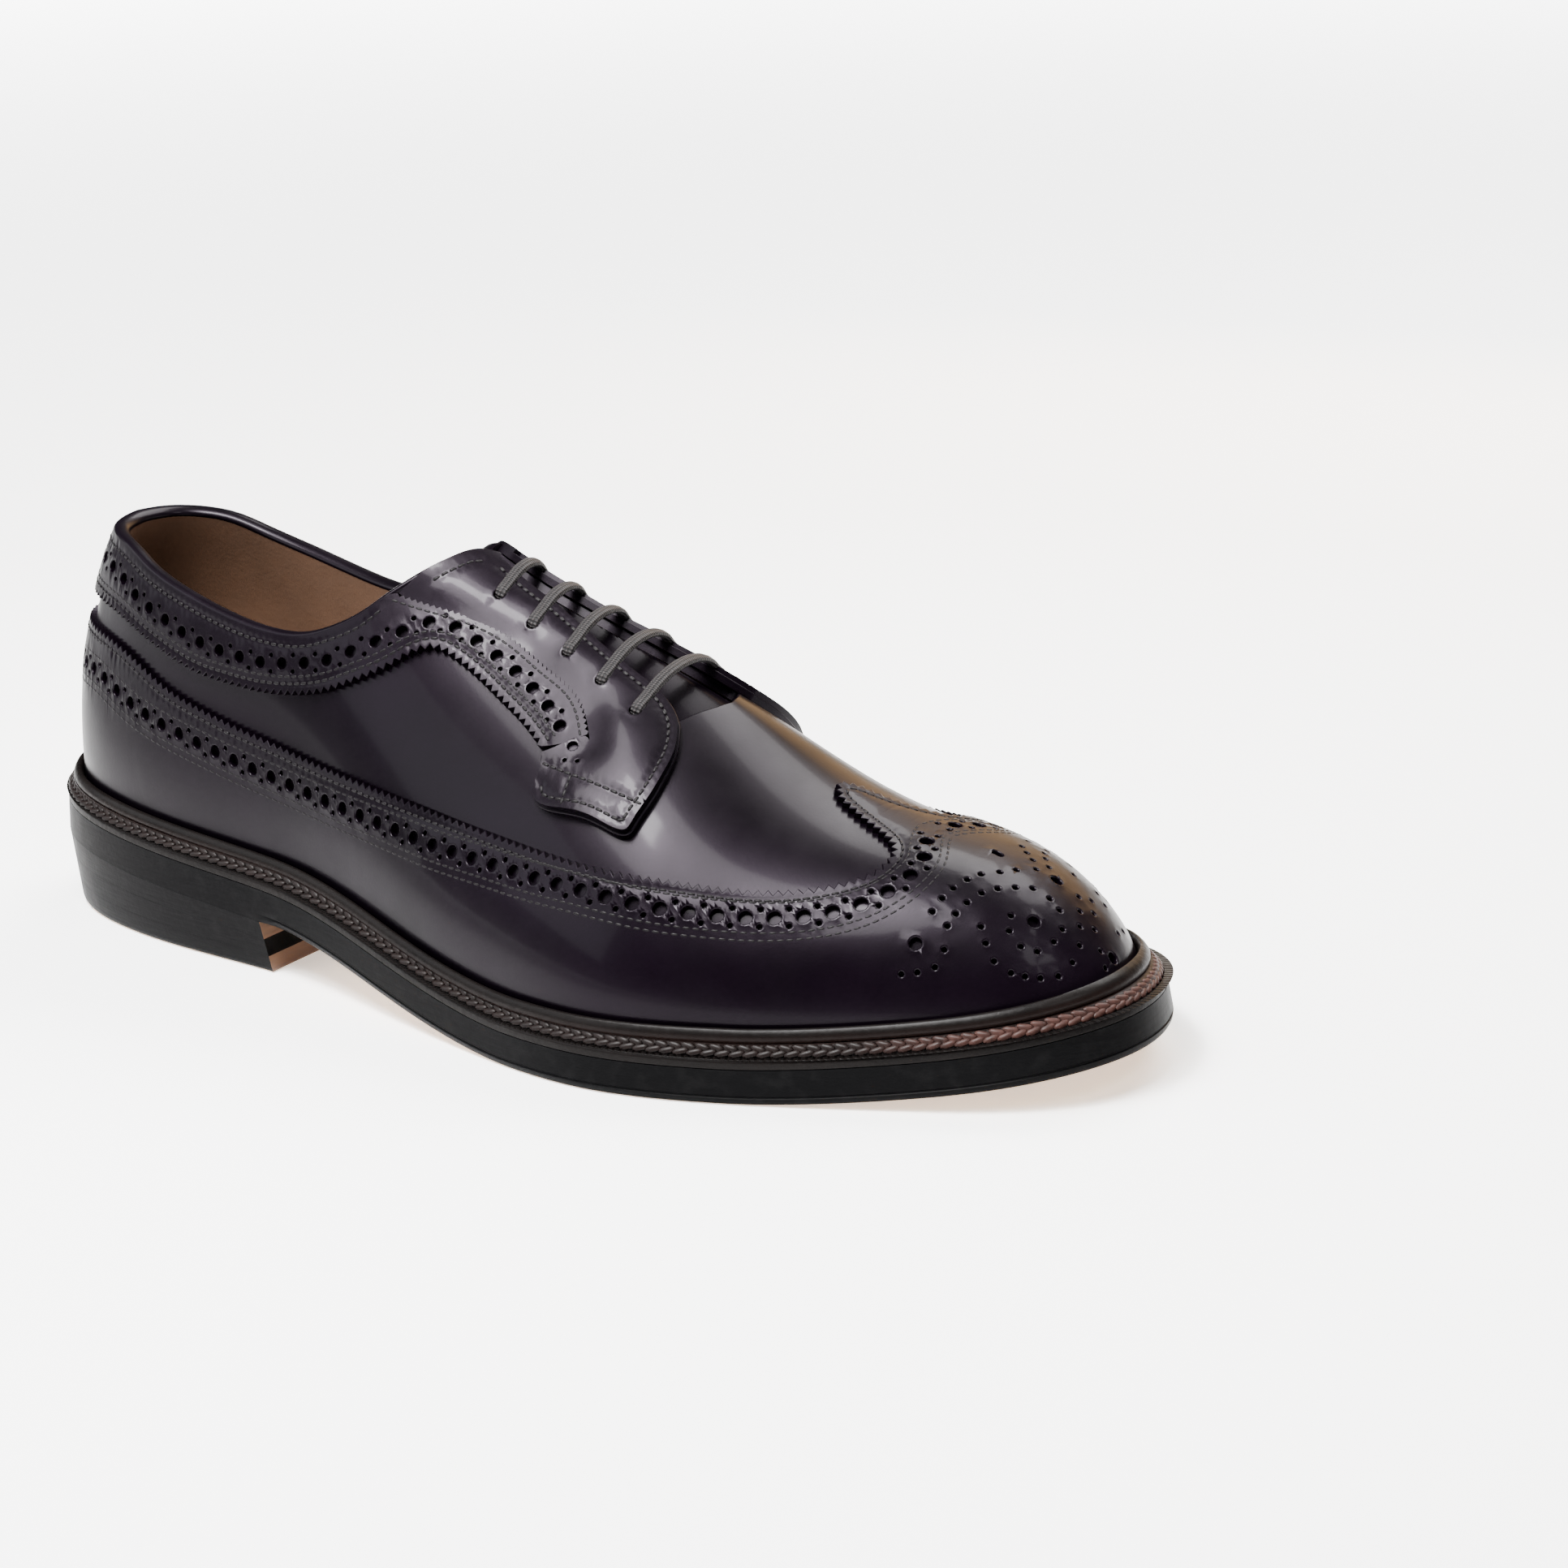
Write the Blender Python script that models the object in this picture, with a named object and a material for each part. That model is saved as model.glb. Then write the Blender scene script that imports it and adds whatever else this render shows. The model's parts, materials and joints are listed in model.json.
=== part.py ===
"""Longwing derby brogue, right shoe, as separate solids.

Lengths are millimetres until `place` turns them into metres. While the pieces are worked out, x runs from
the heel to the toe along the outsole, y is positive on the inner (medial) side and z is up from the floor.
"""
import bpy
import numpy as np
from mathutils import Vector
from mathutils.geometry import delaunay_2d_cdt

for old in list(bpy.data.objects):
    bpy.data.objects.remove(old)

# Size of the shoe.
LENGTH = 308.0
BALL_WIDTH = 115.0
SEAT_HEIGHT = 19.9
BREAST_HEIGHT = 13.2
BREAST_X = 90.0
TOE_SPRING = 9.6
INSTEP_HEIGHT = 94.0
SWELL = 3.5
FOOT_SET_IN = 8.3
# Flat part of the tread, as shares of the length.
TREAD_START = 0.584
TREAD_END = 0.753

# The sole stack, measured square to the sole's underside, and the heel.
GAP = 0.3
OUTSOLE = 4.8
MIDSOLE = 2.9
WELT = 2.1
HEEL_TAPER = 1.8
BREAST_LEAN = 1.8
EDGE_BEVEL = 0.8
INSOLE = 2.6
INSOLE_CLEAR = 0.8

# The upper's wall and the leather laid over it.
WALL = 2.2
OVERLAY_GAP = 0.5
OVERLAY = 1.1
FACING = 2.3
TONGUE = 1.8
SLOT_MARGIN = 0.03
SEAM = 0.016
EYELET_RADIUS = 1.9
WING_FOOT = 1.6

# The raised inner bead of the storm welt.
BEAD_HEIGHT = 7.6
BEAD_WIDTH = 2.6
BEAD_LIP = 0.9
SHELF_RISE = 0.5
WELT_CLEAR = 0.4

# Flat waxed laces across the throat.
LACE_WIDTH = 3.0
LACE_THICK = 1.5

# Outline of the sole from the heel along the outer side, round the toe and back along the inner side:
# share of the length, share of the ball width.
OUTLINE = [
    (0.000, 0.000), (0.030, -0.165), (0.114, -0.283), (0.211, -0.325), (0.323, -0.352), (0.437, -0.425),
    (0.552, -0.497), (0.650, -0.527), (0.762, -0.452), (0.869, -0.333), (0.950, -0.215), (0.996, -0.035),
    (0.985, 0.165), (0.938, 0.325), (0.830, 0.452), (0.731, 0.473), (0.617, 0.413), (0.487, 0.288),
    (0.357, 0.243), (0.227, 0.278), (0.114, 0.290), (0.030, 0.185),
]
# How far the upper's foot stands in from the sole's edge: share of the length, share of FOOT_SET_IN.
FOOT_INSET = [
    (0.00, 0.77), (0.16, 0.82), (0.36, 0.94), (0.55, 1.00), (1.00, 0.99),
]
# Top line of the last: share of the length, share of INSTEP_HEIGHT, share of BALL_WIDTH to the inner side.
RIDGE = [
    (0.065, 1.319, 0.000), (0.195, 1.314, 0.009), (0.325, 1.234, 0.017), (0.406, 1.106, 0.026),
    (0.471, 1.000, 0.030), (0.536, 0.915, 0.035), (0.601, 0.828, 0.035), (0.666, 0.716, 0.035),
    (0.731, 0.590, 0.035), (0.795, 0.519, 0.030), (0.851, 0.485, 0.026), (0.909, 0.431, 0.022),
    (0.974, 0.340, 0.017),
]
# Cross-sections: share of the length, fullness in plan, fullness in height, share of SWELL.
SECTION = [
    (0.026, 1.90, 0.85, 0.14), (0.130, 1.50, 0.80, 0.23), (0.260, 0.95, 0.85, 0.43),
    (0.390, 1.15, 0.95, 0.71), (0.487, 1.30, 1.00, 1.00), (0.584, 1.25, 1.00, 0.91),
    (0.682, 1.12, 0.95, 0.63), (0.779, 0.95, 0.90, 0.34), (0.877, 0.78, 1.00, 0.23),
    (0.974, 0.80, 0.95, 0.23),
]
# Where the rays of the heel and toe close on the top line, as shares of the length: first, last, meeting.
HEEL_FAN = (0.195, 0.026, 0.149)
TOE_FAN = (0.747, 0.974, 0.877)

# Edges drawn on the last, the same on both sides: share of the length, share of the way up the side.
TOPLINE = [
    (0.000, 0.472), (0.026, 0.470), (0.071, 0.456), (0.117, 0.437), (0.149, 0.412), (0.195, 0.388), (0.247, 0.378),
    (0.292, 0.388), (0.325, 0.420), (0.351, 0.475), (0.370, 0.535), (0.386, 0.610), (0.403, 0.705),
    (0.419, 0.810), (0.432, 0.895),
]
THROAT = [
    (0.445, 0.935), (0.468, 0.907), (0.510, 0.877), (0.545, 0.845), (0.584, 0.823), (0.610, 0.815),
    (0.627, 0.795),
]
TAB = [
    (0.638, 0.765), (0.647, 0.707), (0.651, 0.627), (0.651, 0.557), (0.649, 0.503), (0.647, 0.470),
    (0.623, 0.452), (0.597, 0.440), (0.563, 0.430), (0.558, 0.460), (0.557, 0.497), (0.554, 0.514),
]
BAND_LOW = [
    (0.000, 0.337), (0.026, 0.335), (0.071, 0.325), (0.120, 0.307), (0.149, 0.289), (0.179, 0.273), (0.218, 0.261),
    (0.253, 0.267), (0.286, 0.280), (0.318, 0.307), (0.351, 0.355), (0.377, 0.413), (0.403, 0.484),
    (0.422, 0.550), (0.435, 0.580), (0.451, 0.590), (0.474, 0.587), (0.500, 0.573), (0.519, 0.562),
    (0.542, 0.542), (0.552, 0.530),
]
BAND_HIGH = [
    (0.390, 0.622), (0.412, 0.645), (0.435, 0.672), (0.461, 0.697), (0.494, 0.703), (0.529, 0.686),
    (0.552, 0.676), (0.571, 0.645), (0.583, 0.606),
]
WING_EDGE = [
    (0.000, 0.277), (0.026, 0.275), (0.084, 0.262), (0.140, 0.238), (0.182, 0.210), (0.218, 0.200), (0.253, 0.197),
    (0.289, 0.200), (0.321, 0.207), (0.357, 0.223), (0.393, 0.247), (0.429, 0.273), (0.461, 0.295),
    (0.497, 0.314), (0.545, 0.334), (0.610, 0.357), (0.649, 0.379), (0.695, 0.423), (0.727, 0.460),
    (0.758, 0.507), (0.779, 0.552), (0.800, 0.615), (0.817, 0.700), (0.821, 0.770), (0.817, 0.830),
    (0.799, 0.880), (0.779, 0.905), (0.760, 0.925), (0.742, 0.960), (0.737, 1.000),
]
# Eyelets of one side, in the same shares.
EYELETS = [
    (0.464, 0.793), (0.498, 0.772), (0.534, 0.755), (0.570, 0.738), (0.606, 0.720),
]

# The tongue under the slot, from its top round one side to its root.
TONGUE_EDGE = [
    (0.405, 1.000), (0.408, 0.900), (0.418, 0.800), (0.450, 0.755), (0.510, 0.710), (0.580, 0.670),
    (0.630, 0.650), (0.655, 0.700), (0.665, 0.820), (0.668, 1.000),
]
# Round end of the slot.
THROAT_END = [(0.637, 0.845), (0.643, 0.920), (0.646, 1.000)]

# Mesh fineness: rays round the shoe, rows up the side, shortest distance between two points, edge step.
RAYS = 84
ROWS = [0.03, 0.065, 0.105, 0.15, 0.20, 0.26, 0.33, 0.41, 0.50, 0.60, 0.70, 0.80, 0.90, 1.0]
CLOSEST = 5.4
EDGE_STEP = 5.0
SLICES = 44
HEEL_SLICES = 22


def spline(rows, closed=False):
    """A natural cubic through the rows against their first column, or a closed one."""
    rows = np.asarray(rows, float)
    at, values = rows[:, 0], rows[:, 1:]
    count, step = len(at), np.diff(at)
    size = count - 1 if closed else count
    left, right = np.zeros((size, size)), np.zeros((size, values.shape[1]))
    for i in range(size):
        if not closed and i in (0, size - 1):
            left[i, i] = 1.0
            continue
        before, after = step[i - 1], step[i]
        previous = values[i - 1] if i else values[count - 2]
        left[i, (i - 1) % size] += before
        left[i, i] += 2 * (before + after)
        left[i, (i + 1) % size] += after
        right[i] = 6 * ((values[i + 1] - values[i]) / after - (values[i] - previous) / before)
    bend = np.linalg.solve(left, right)
    if closed:
        bend = np.vstack([bend, bend[:1]])

    def curve(x):
        x = np.asarray(x, float)
        flat = x.ravel()
        if closed:
            flat = at[0] + np.mod(flat - at[0], at[-1] - at[0])
        flat = np.clip(flat, at[0], at[-1])
        k = np.clip(np.searchsorted(at, flat, side="right") - 1, 0, count - 2)
        u, h = (flat - at[k])[:, None], step[k][:, None]
        a, b, m, n = values[k], values[k + 1], bend[k], bend[k + 1]
        y = a + u * ((b - a) / h - h * (2 * m + n) / 6) + u * u * m / 2 + u**3 * (n - m) / (6 * h)
        return y.reshape(x.shape + (values.shape[1],))

    return curve


def closed_ring(points):
    points = np.vstack([points, points[:1]])
    run = np.r_[0, np.cumsum(np.hypot(*np.diff(points, axis=0).T))]
    return spline(np.column_stack([run, points]), closed=True), run[-1]


RING, ROUND = closed_ring(np.array(OUTLINE) * (LENGTH, BALL_WIDTH))
top_line = spline(np.array(RIDGE) * (LENGTH, INSTEP_HEIGHT, BALL_WIDTH))
section = spline(np.array(SECTION) * (LENGTH, 1, 1, SWELL))
foot_inset = spline(np.array(FOOT_INSET) * (LENGTH, FOOT_SET_IN))
FOOT_HEIGHT = OUTSOLE + MIDSOLE + 2 * GAP


def outline(s, inset=0.0):
    """Plan points of the sole's edge at the arcs s, moved in by `inset`."""
    s = np.asarray(s, float)
    p, ahead = RING(s), RING(s + 0.5) - RING(s - 0.5)
    ahead /= np.linalg.norm(ahead, axis=-1, keepdims=True)
    inward = np.stack([-ahead[..., 1], ahead[..., 0]], -1)
    return p + inward * np.broadcast_to(np.asarray(inset, float), s.shape)[..., None]


def foot(s, further=0.0):
    """Plan points of the foot of the upper, moved in further."""
    return outline(s, foot_inset(RING(s)[..., 0])[..., 0] + further)


def underside(x):
    """Height of the sole's underside: heel seat, shank, flat tread, toe spring."""
    x = np.asarray(x, float)
    fall = (BREAST_HEIGHT - SEAT_HEIGHT) / BREAST_X
    shank = TREAD_START * LENGTH - BREAST_X
    u = np.clip((x - BREAST_X) / shank, 0, 1)
    arch = BREAST_HEIGHT * (1 + 2 * u) * (1 - u) ** 2 + fall * shank * u * (1 - u) ** 2
    v = np.clip((x / LENGTH - TREAD_END) / (1 - TREAD_END), 0, 2)
    toe = TOE_SPRING * v**1.7
    return np.where(x < BREAST_X, SEAT_HEIGHT + fall * x, np.where(u < 1, arch, toe))


def lift(plan, height):
    """The plan points raised from the underside, square to it."""
    x = plan[..., 0]
    slope = (underside(x + 1) - underside(x - 1)) / 2
    square = np.sqrt(1 + slope**2)
    return np.stack([x - height * slope / square, plan[..., 1], underside(x) + height / square], -1)


def level_with(xy, height):
    """Points of the layer at this height that stand over or under the given plan points."""
    return lift(2 * xy - lift(xy, height)[..., :2], height)


def meeting(x):
    """Station on the top line where the ray from foot station x ends."""
    first, end, onto = np.array(HEEL_FAN) * LENGTH
    u = np.clip((first - x) / (first - end), 0, 1.3)
    heel = first - (first - end) * u + (onto - end) * u * u
    start, end, back = np.array(TOE_FAN) * LENGTH
    v = np.clip((x - start) / (end - start), 0, 1.3)
    toe = start + (end - start) * v - (end - back) * v * v
    return np.where(x < first, heel, np.where(x > start, toe, x))


def ray_ends(s):
    low = foot(s)
    at = meeting(low[..., 0])
    return low, np.stack([at, top_line(at)[..., 1]], -1)


def chart(st):
    """Flat map of the last: each side laid out at about its girth, so that facets follow the rows."""
    low, top = ray_ends(st[:, 0])
    ray = low - top
    reach = np.linalg.norm(ray, axis=1, keepdims=True)
    drop = top_line(top[:, 0])[:, :1] - lift(low, FOOT_HEIGHT)[:, 2:]
    return top + ray / reach * (reach + 0.8 * drop) * (1 - st[:, 1:])


def last(s, t):
    """Point of the last at arc s round the shoe and share t of the way up its side."""
    s, t = np.broadcast_arrays(np.asarray(s, float), np.asarray(t, float))
    plan, top = ray_ends(s)
    low = lift(plan, FOOT_HEIGHT)
    wide, high, swell = np.moveaxis(section(low[..., 0]), -1, 0)
    turn = t * np.pi / 2
    across = 1 - np.maximum(np.cos(turn), 0) ** wide
    up = np.maximum(np.sin(turn), 0) ** high
    ray = top - low[..., :2]
    unit = ray / np.linalg.norm(ray, axis=-1, keepdims=True)
    puff = 1.6 * swell * np.sin(np.pi * up**0.8) * (1 - up)
    xy = low[..., :2] + ray * across[..., None] - unit * puff[..., None]
    z = low[..., 2] + (top_line(xy[..., 0])[..., 0] - low[..., 2]) * up
    return np.concatenate([xy, z[..., None]], -1)


def raised(s, t, by):
    """The last's point moved out by a distance square to it."""
    s, t = np.broadcast_arrays(np.asarray(s, float), np.asarray(t, float))
    mid = np.clip(t, 0.006, 0.985)
    out = np.cross(last(s + 0.4, mid) - last(s - 0.4, mid), last(s, mid + 0.006) - last(s, mid - 0.006))
    return last(s, t) + out / np.linalg.norm(out, axis=-1, keepdims=True) * by


def share_at(s, height):
    """Share of the way up the side at a height above the upper's foot."""
    shares = np.linspace(0, 0.6, 61)
    rise = last(s[:, None], shares[None])[..., 2] - last(s, 0.0)[:, None, 2]
    return np.array([np.interp(height, row, shares) for row in rise])


ARCS = np.linspace(0, ROUND, 2401)
STATIONS = foot(ARCS)[:, 0]
TOE_ARC = int(STATIONS.argmax())


def arc(share, side):
    """Arc of a share of the length on the outer side (-1) or the inner side (+1)."""
    if side < 0:
        return np.interp(share * LENGTH, STATIONS[: TOE_ARC + 1], ARCS[: TOE_ARC + 1])
    return np.interp(share * LENGTH, STATIONS[TOE_ARC:][::-1], ARCS[TOE_ARC:][::-1])


def drawn(rows, side, step=None):
    """An edge's rows as evenly spaced points (arc, share up) on one side."""
    rows = np.asarray(rows, float)
    points = np.column_stack([arc(rows[:, 0], side), rows[:, 1]])
    hops = np.diff(last(*points.T), axis=0)
    run = np.r_[0, np.cumsum(np.linalg.norm(hops, axis=1))]
    curve = spline(np.column_stack([run, points]))
    return curve(np.linspace(0, run[-1], max(2, round(run[-1] / (step or EDGE_STEP)) + 1)))


def both_sides(rows):
    """A closed edge from an outer half that ends on the top line, mirrored onto the inner side."""
    return np.vstack([drawn(rows, -1), drawn(rows, 1)[::-1][1:-1]])


def moved(rows, share=0.0, rise=0.0):
    return [(x + share, t + rise) for x, t in rows]


def hole(share, rise, side, radius):
    """A round hole's rim on the last."""
    s = arc(share, side)
    along = np.linalg.norm(last(s + 1, rise) - last(s, rise))
    up = np.linalg.norm(last(s, rise + 0.01) - last(s, rise)) / 0.01
    turn = np.linspace(0, 2 * np.pi, 9)[:-1]
    return np.column_stack([s + radius / along * np.cos(turn), rise + radius / up * np.sin(turn)])


def inside(points, loop):
    """Whether each flat point lies in the closed loop."""
    x, y = points[:, :1], points[:, 1:]
    a, b = loop, np.roll(loop, -1, 0)
    crosses = (a[:, 1] > y) != (b[:, 1] > y)
    rise = np.where(b[:, 1] == a[:, 1], 1.0, b[:, 1] - a[:, 1])
    return (crosses & (x < (b[:, 0] - a[:, 0]) * (y - a[:, 1]) / rise + a[:, 0])).sum(1) % 2 == 1


def within(points, flats):
    keep = inside(points, flats[0])
    for flat in flats[1:]:
        keep &= ~inside(points, flat)
    return keep


def thinned_grid():
    """One set of points for every piece, so that neighbours' facets run side by side."""
    kept, places = [], []
    for t in ROWS:
        for s in np.linspace(0, ROUND, RAYS + 1)[:-1]:
            p = last(s, t)
            if places and np.min(np.sum((np.array(places) - p) ** 2, axis=1)) < CLOSEST**2:
                continue
            kept.append((s, t))
            places.append(p)
    return np.array(kept)


GRID = thinned_grid()
EDGE = RING(ARCS)
ORIGIN = (np.r_[EDGE.min(0), 0] + np.r_[EDGE.max(0), 0]) / 2


def material(name, colour, roughness):
    made = bpy.data.materials.new(name)
    made.use_nodes = True
    shader = made.node_tree.nodes["Principled BSDF"]
    shader.inputs["Base Color"].default_value = (*colour, 1)
    shader.inputs["Roughness"].default_value = roughness
    return made


def solid(name, points, faces, finish):
    """A named object from points in millimetres, with its faces turned outwards."""
    points, faces = np.asarray(points, float), np.asarray(faces, int)
    a, b, c = (points[faces[:, i]] for i in range(3))
    if np.sum(a * np.cross(b, c)) < 0:
        faces = faces[:, ::-1]
    mesh = bpy.data.meshes.new(name)
    mesh.from_pydata(((points - ORIGIN) / 1000).tolist(), [], faces.tolist())
    mesh.materials.append(material(name, *finish))
    made = bpy.data.objects.new(name, mesh)
    bpy.context.scene.collection.objects.link(made)
    return made


def sheet(loops):
    """Points (arc, share up) and triangles of the area inside the first loop and outside the others."""
    edges, count = [], 0
    for loop in loops:
        edges += [(count + i, count + (i + 1) % len(loop)) for i in range(len(loop))]
        count += len(loop)
    flats = [chart(loop) for loop in loops]
    rim = np.vstack(loops)
    apart = np.linalg.norm(last(*GRID.T)[:, None] - last(*rim.T)[None], axis=2).min(axis=1)
    points = np.vstack([rim, GRID[within(chart(GRID), flats) & (apart > CLOSEST * 0.5)]])
    flat = chart(points)
    _, _, tris, origin, _, _ = delaunay_2d_cdt([Vector(p) for p in flat], edges, [], 0, 1e-6)
    tris = np.array([[origin[i][0] for i in tri] for tri in tris])
    tris = tris[within(flat[tris].mean(axis=1), flats)]
    a, b, c = (flat[tris[:, i]] for i in range(3))
    turned = np.cross(b - a, c - a) < 0
    tris[turned] = tris[turned][:, ::-1]
    return points, tris


def shell(name, loops, low, high, finish):
    """A closed piece of leather between two distances from the last."""
    st, tris = sheet(loops)
    count = len(st)
    ends = {(tri[i], tri[(i + 1) % 3]) for tri in tris.tolist() for i in range(3)}
    rim = sorted((p, q) for p, q in ends if (q, p) not in ends)
    walls = [face for p, q in rim for face in ((q, p, p + count), (q, p + count, q + count))]
    points = np.vstack([raised(*st.T, high), raised(*st.T, low)])
    return solid(name, points, np.vstack([tris, tris[:, ::-1] + count, walls]), finish)


def loft(name, rings, finish, closed=False):
    """A solid through rings of equally many points: a tube closed on itself, or one with flat-paired ends."""
    rings = np.asarray(rings)
    levels, count = rings.shape[:2]
    faces = []
    for k in range(levels if closed else levels - 1):
        for i in range(count):
            a, b = k * count + i, k * count + (i + 1) % count
            c, d = (k + 1) % levels * count + (i + 1) % count, (k + 1) % levels * count + i
            faces += [(a, b, c), (a, c, d)]
    if not closed:
        top = (levels - 1) * count
        for a in range(count // 2 - 1):
            b, c, d = a + 1, count - 2 - a, count - 1 - a
            faces += [(b, a, c), (a, d, c), (top + a, top + b, top + c), (top + d, top + a, top + c)]
    return solid(name, rings.reshape(-1, 3), faces, finish)


BLACK_EDGE = ((0.012, 0.011, 0.012), 0.4)
UPPER_LEATHER = ((0.030, 0.012, 0.022), 0.25)
OVERLAY_LEATHER = ((0.038, 0.015, 0.028), 0.25)
SOLE_LEATHER = ((0.62, 0.40, 0.20), 0.5)
STACKED_BROWN = ((0.20, 0.10, 0.05), 0.5)
LINING = ((0.30, 0.17, 0.09), 0.7)
WAXED_LACE = ((0.045, 0.035, 0.035), 0.6)



def paired(first, end, closing):
    """Arcs of the sole's edge at shared stations, out along the outer side and back along the inner side."""
    at = first + (end - first) * closing
    outer = np.interp(at, EDGE[: EDGE_TOE + 1, 0], ARCS[: EDGE_TOE + 1])
    inner = np.interp(at, EDGE[EDGE_TOE:, 0][::-1], ARCS[EDGE_TOE:][::-1])
    return np.r_[outer, inner[::-1]]


EDGE_TOE = int(EDGE[:, 0].argmax())
HEEL_END, TOE_END = EDGE[:, 0].min(), EDGE[:, 0].max()
slices = paired(HEEL_END, TOE_END, (1 - np.cos(np.linspace(0, np.pi, SLICES + 1)[1:-1])) / 2)
rays = np.linspace(0, ROUND, RAYS + 1)[:-1]

# The sole stack, each layer following the underside, and the insole inside the upper.
fore = np.clip((RING(slices)[:, 0] - BREAST_X) / EDGE_BEVEL / 8, 0, 1)
bevel = [(EDGE_BEVEL * 1.2, 0.0), (EDGE_BEVEL * 0.3, EDGE_BEVEL * 0.9), (0.0, EDGE_BEVEL * 2), (0.0, OUTSOLE)]
loft("outsole", [lift(outline(slices, inset * fore), h) for inset, h in bevel], SOLE_LEATHER)
loft("midsole", [lift(outline(slices), OUTSOLE + GAP + h) for h in (0, MIDSOLE)], BLACK_EDGE)
loft("insole", [lift(foot(slices, WALL + INSOLE_CLEAR), FOOT_HEIGHT + h) for h in (0, INSOLE)], LINING)


def heel_ring(share, clear):
    """The stacked heel's rim at a share of its height, with its straight breast."""
    front = BREAST_X + BREAST_LEAN * (1 - share)
    closing = 1 - np.cos(np.linspace(0, np.pi / 2, HEEL_SLICES + 1)[1:])
    plan = outline(paired(HEEL_END, front, closing), HEEL_TAPER * (1 - share))
    plan[HEEL_SLICES - 1 : HEEL_SLICES + 1, 0] = front
    return np.column_stack([plan, share * (underside(plan[:, 0]) - GAP) + clear])


lifts = [("top_lift", SOLE_LEATHER), ("middle_lift", BLACK_EDGE), ("seat_lift", STACKED_BROWN)]
for number, (name, finish) in enumerate(lifts):
    clear = GAP if number else 0.0
    rings = [heel_ring(number / len(lifts), clear), heel_ring((number + 1) / len(lifts), 0.0)]
    loft(name, rings, finish)


# The upper: one wall over the last, open below, at the collar and along the throat.
foot_ring = np.column_stack([rays, np.zeros(RAYS)])
slot = moved(THROAT, rise=-SLOT_MARGIN)
mouth = both_sides(TOPLINE + slot + THROAT_END)
holes = [hole(share, rise, side, EYELET_RADIUS) for side in (-1, 1) for share, rise in EYELETS]
shell("upper", [foot_ring, mouth, *holes], -WALL, 0.0, UPPER_LEATHER)

# The long wing runs all round the shoe, from its foot to the pinked edge and the peak over the toe.
wing_low, wing_high = OVERLAY_GAP, OVERLAY_GAP + OVERLAY
wing_foot = np.column_stack([rays, share_at(rays, WING_FOOT)])
shell("longwing", [wing_foot, both_sides(WING_EDGE)], wing_low, wing_high, OVERLAY_LEATHER)

# The collar band, from one tab round the heel to the other.
band_end = [BAND_HIGH[-1], (0.568, 0.560), BAND_LOW[-1]]
collar = [row for row in TOPLINE if row[0] < BAND_HIGH[0][0]] + [BAND_HIGH[0]]


def band_side(side):
    rim = [drawn(BAND_LOW, side), drawn(band_end[::-1], side)[1:-1], drawn(BAND_HIGH, side)[::-1]]
    return np.vstack(rim), drawn(collar, side)[::-1][1:]


outer_rim, outer_top = band_side(-1)
inner_rim, inner_top = band_side(1)
band = np.vstack([outer_rim, outer_top, inner_top[::-1][1:], inner_rim[::-1][:-1]])
shell("collar_band", [band], wing_low, wing_high, OVERLAY_LEATHER)

# The two lacing facings with their tabs, set in from the band by a seam.
seam_high = moved(BAND_HIGH[:1], share=SEAM / 2, rise=SEAM * 2) + moved(BAND_HIGH[1:], share=SEAM / 3, rise=SEAM)
seam_end = [seam_high[-1]] + moved(band_end[:-1], share=SEAM / 2, rise=-SEAM / 2) + [TAB[-1]]
front_top = [row for row in TOPLINE if row[0] > seam_high[0][0]]
facing_high = OVERLAY_GAP + FACING
for side, name in ((-1, "outer_facing"), (1, "inner_facing")):
    edges = [seam_high, seam_end, TAB[::-1], [TAB[0]] + THROAT[::-1], [THROAT[0]] + front_top[::-1]]
    rim = np.vstack([drawn(rows, side)[:-1] for rows in edges] + [drawn(front_top, side)[:1]])
    punched = [hole(share, rise, side, EYELET_RADIUS) for share, rise in EYELETS]
    shell(name, [rim, *punched], OVERLAY_GAP, facing_high, OVERLAY_LEATHER)

# The tongue lies under the slot, a little wider than it.
tongue_high = -(WALL + OVERLAY_GAP)
shell("tongue", [both_sides(TONGUE_EDGE)], tongue_high - TONGUE, tongue_high, UPPER_LEATHER)

# The storm welt: a flat shelf at the sole's edge and a bead that stands against the wing.
welt_in = wing_high + WELT_CLEAR
welt_rise = [share_at(rays, BEAD_HEIGHT * part) for part in (0.35, 0.82, 1.0, 0.9, 0.5)]
shelf_in = raised(rays, welt_rise[0], welt_in + BEAD_WIDTH)[:, :2]
bead = [
    raised(rays, welt_rise[1], welt_in + BEAD_WIDTH),
    raised(rays, welt_rise[2], welt_in + BEAD_WIDTH - BEAD_LIP),
    raised(rays, welt_rise[3], welt_in),
    raised(rays, welt_rise[4], welt_in),
    level_with(raised(rays, wing_foot[:, 1], welt_in)[:, :2], FOOT_HEIGHT),
]
shelf = [
    lift(outline(rays), FOOT_HEIGHT),
    lift(outline(rays), FOOT_HEIGHT + WELT * 0.8),
    lift(outline(rays, WELT * 0.2), FOOT_HEIGHT + WELT),
    level_with(shelf_in, FOOT_HEIGHT + WELT + SHELF_RISE),
]
loft("storm_welt", np.stack(shelf + bead, axis=1), BLACK_EDGE, closed=True)


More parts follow.
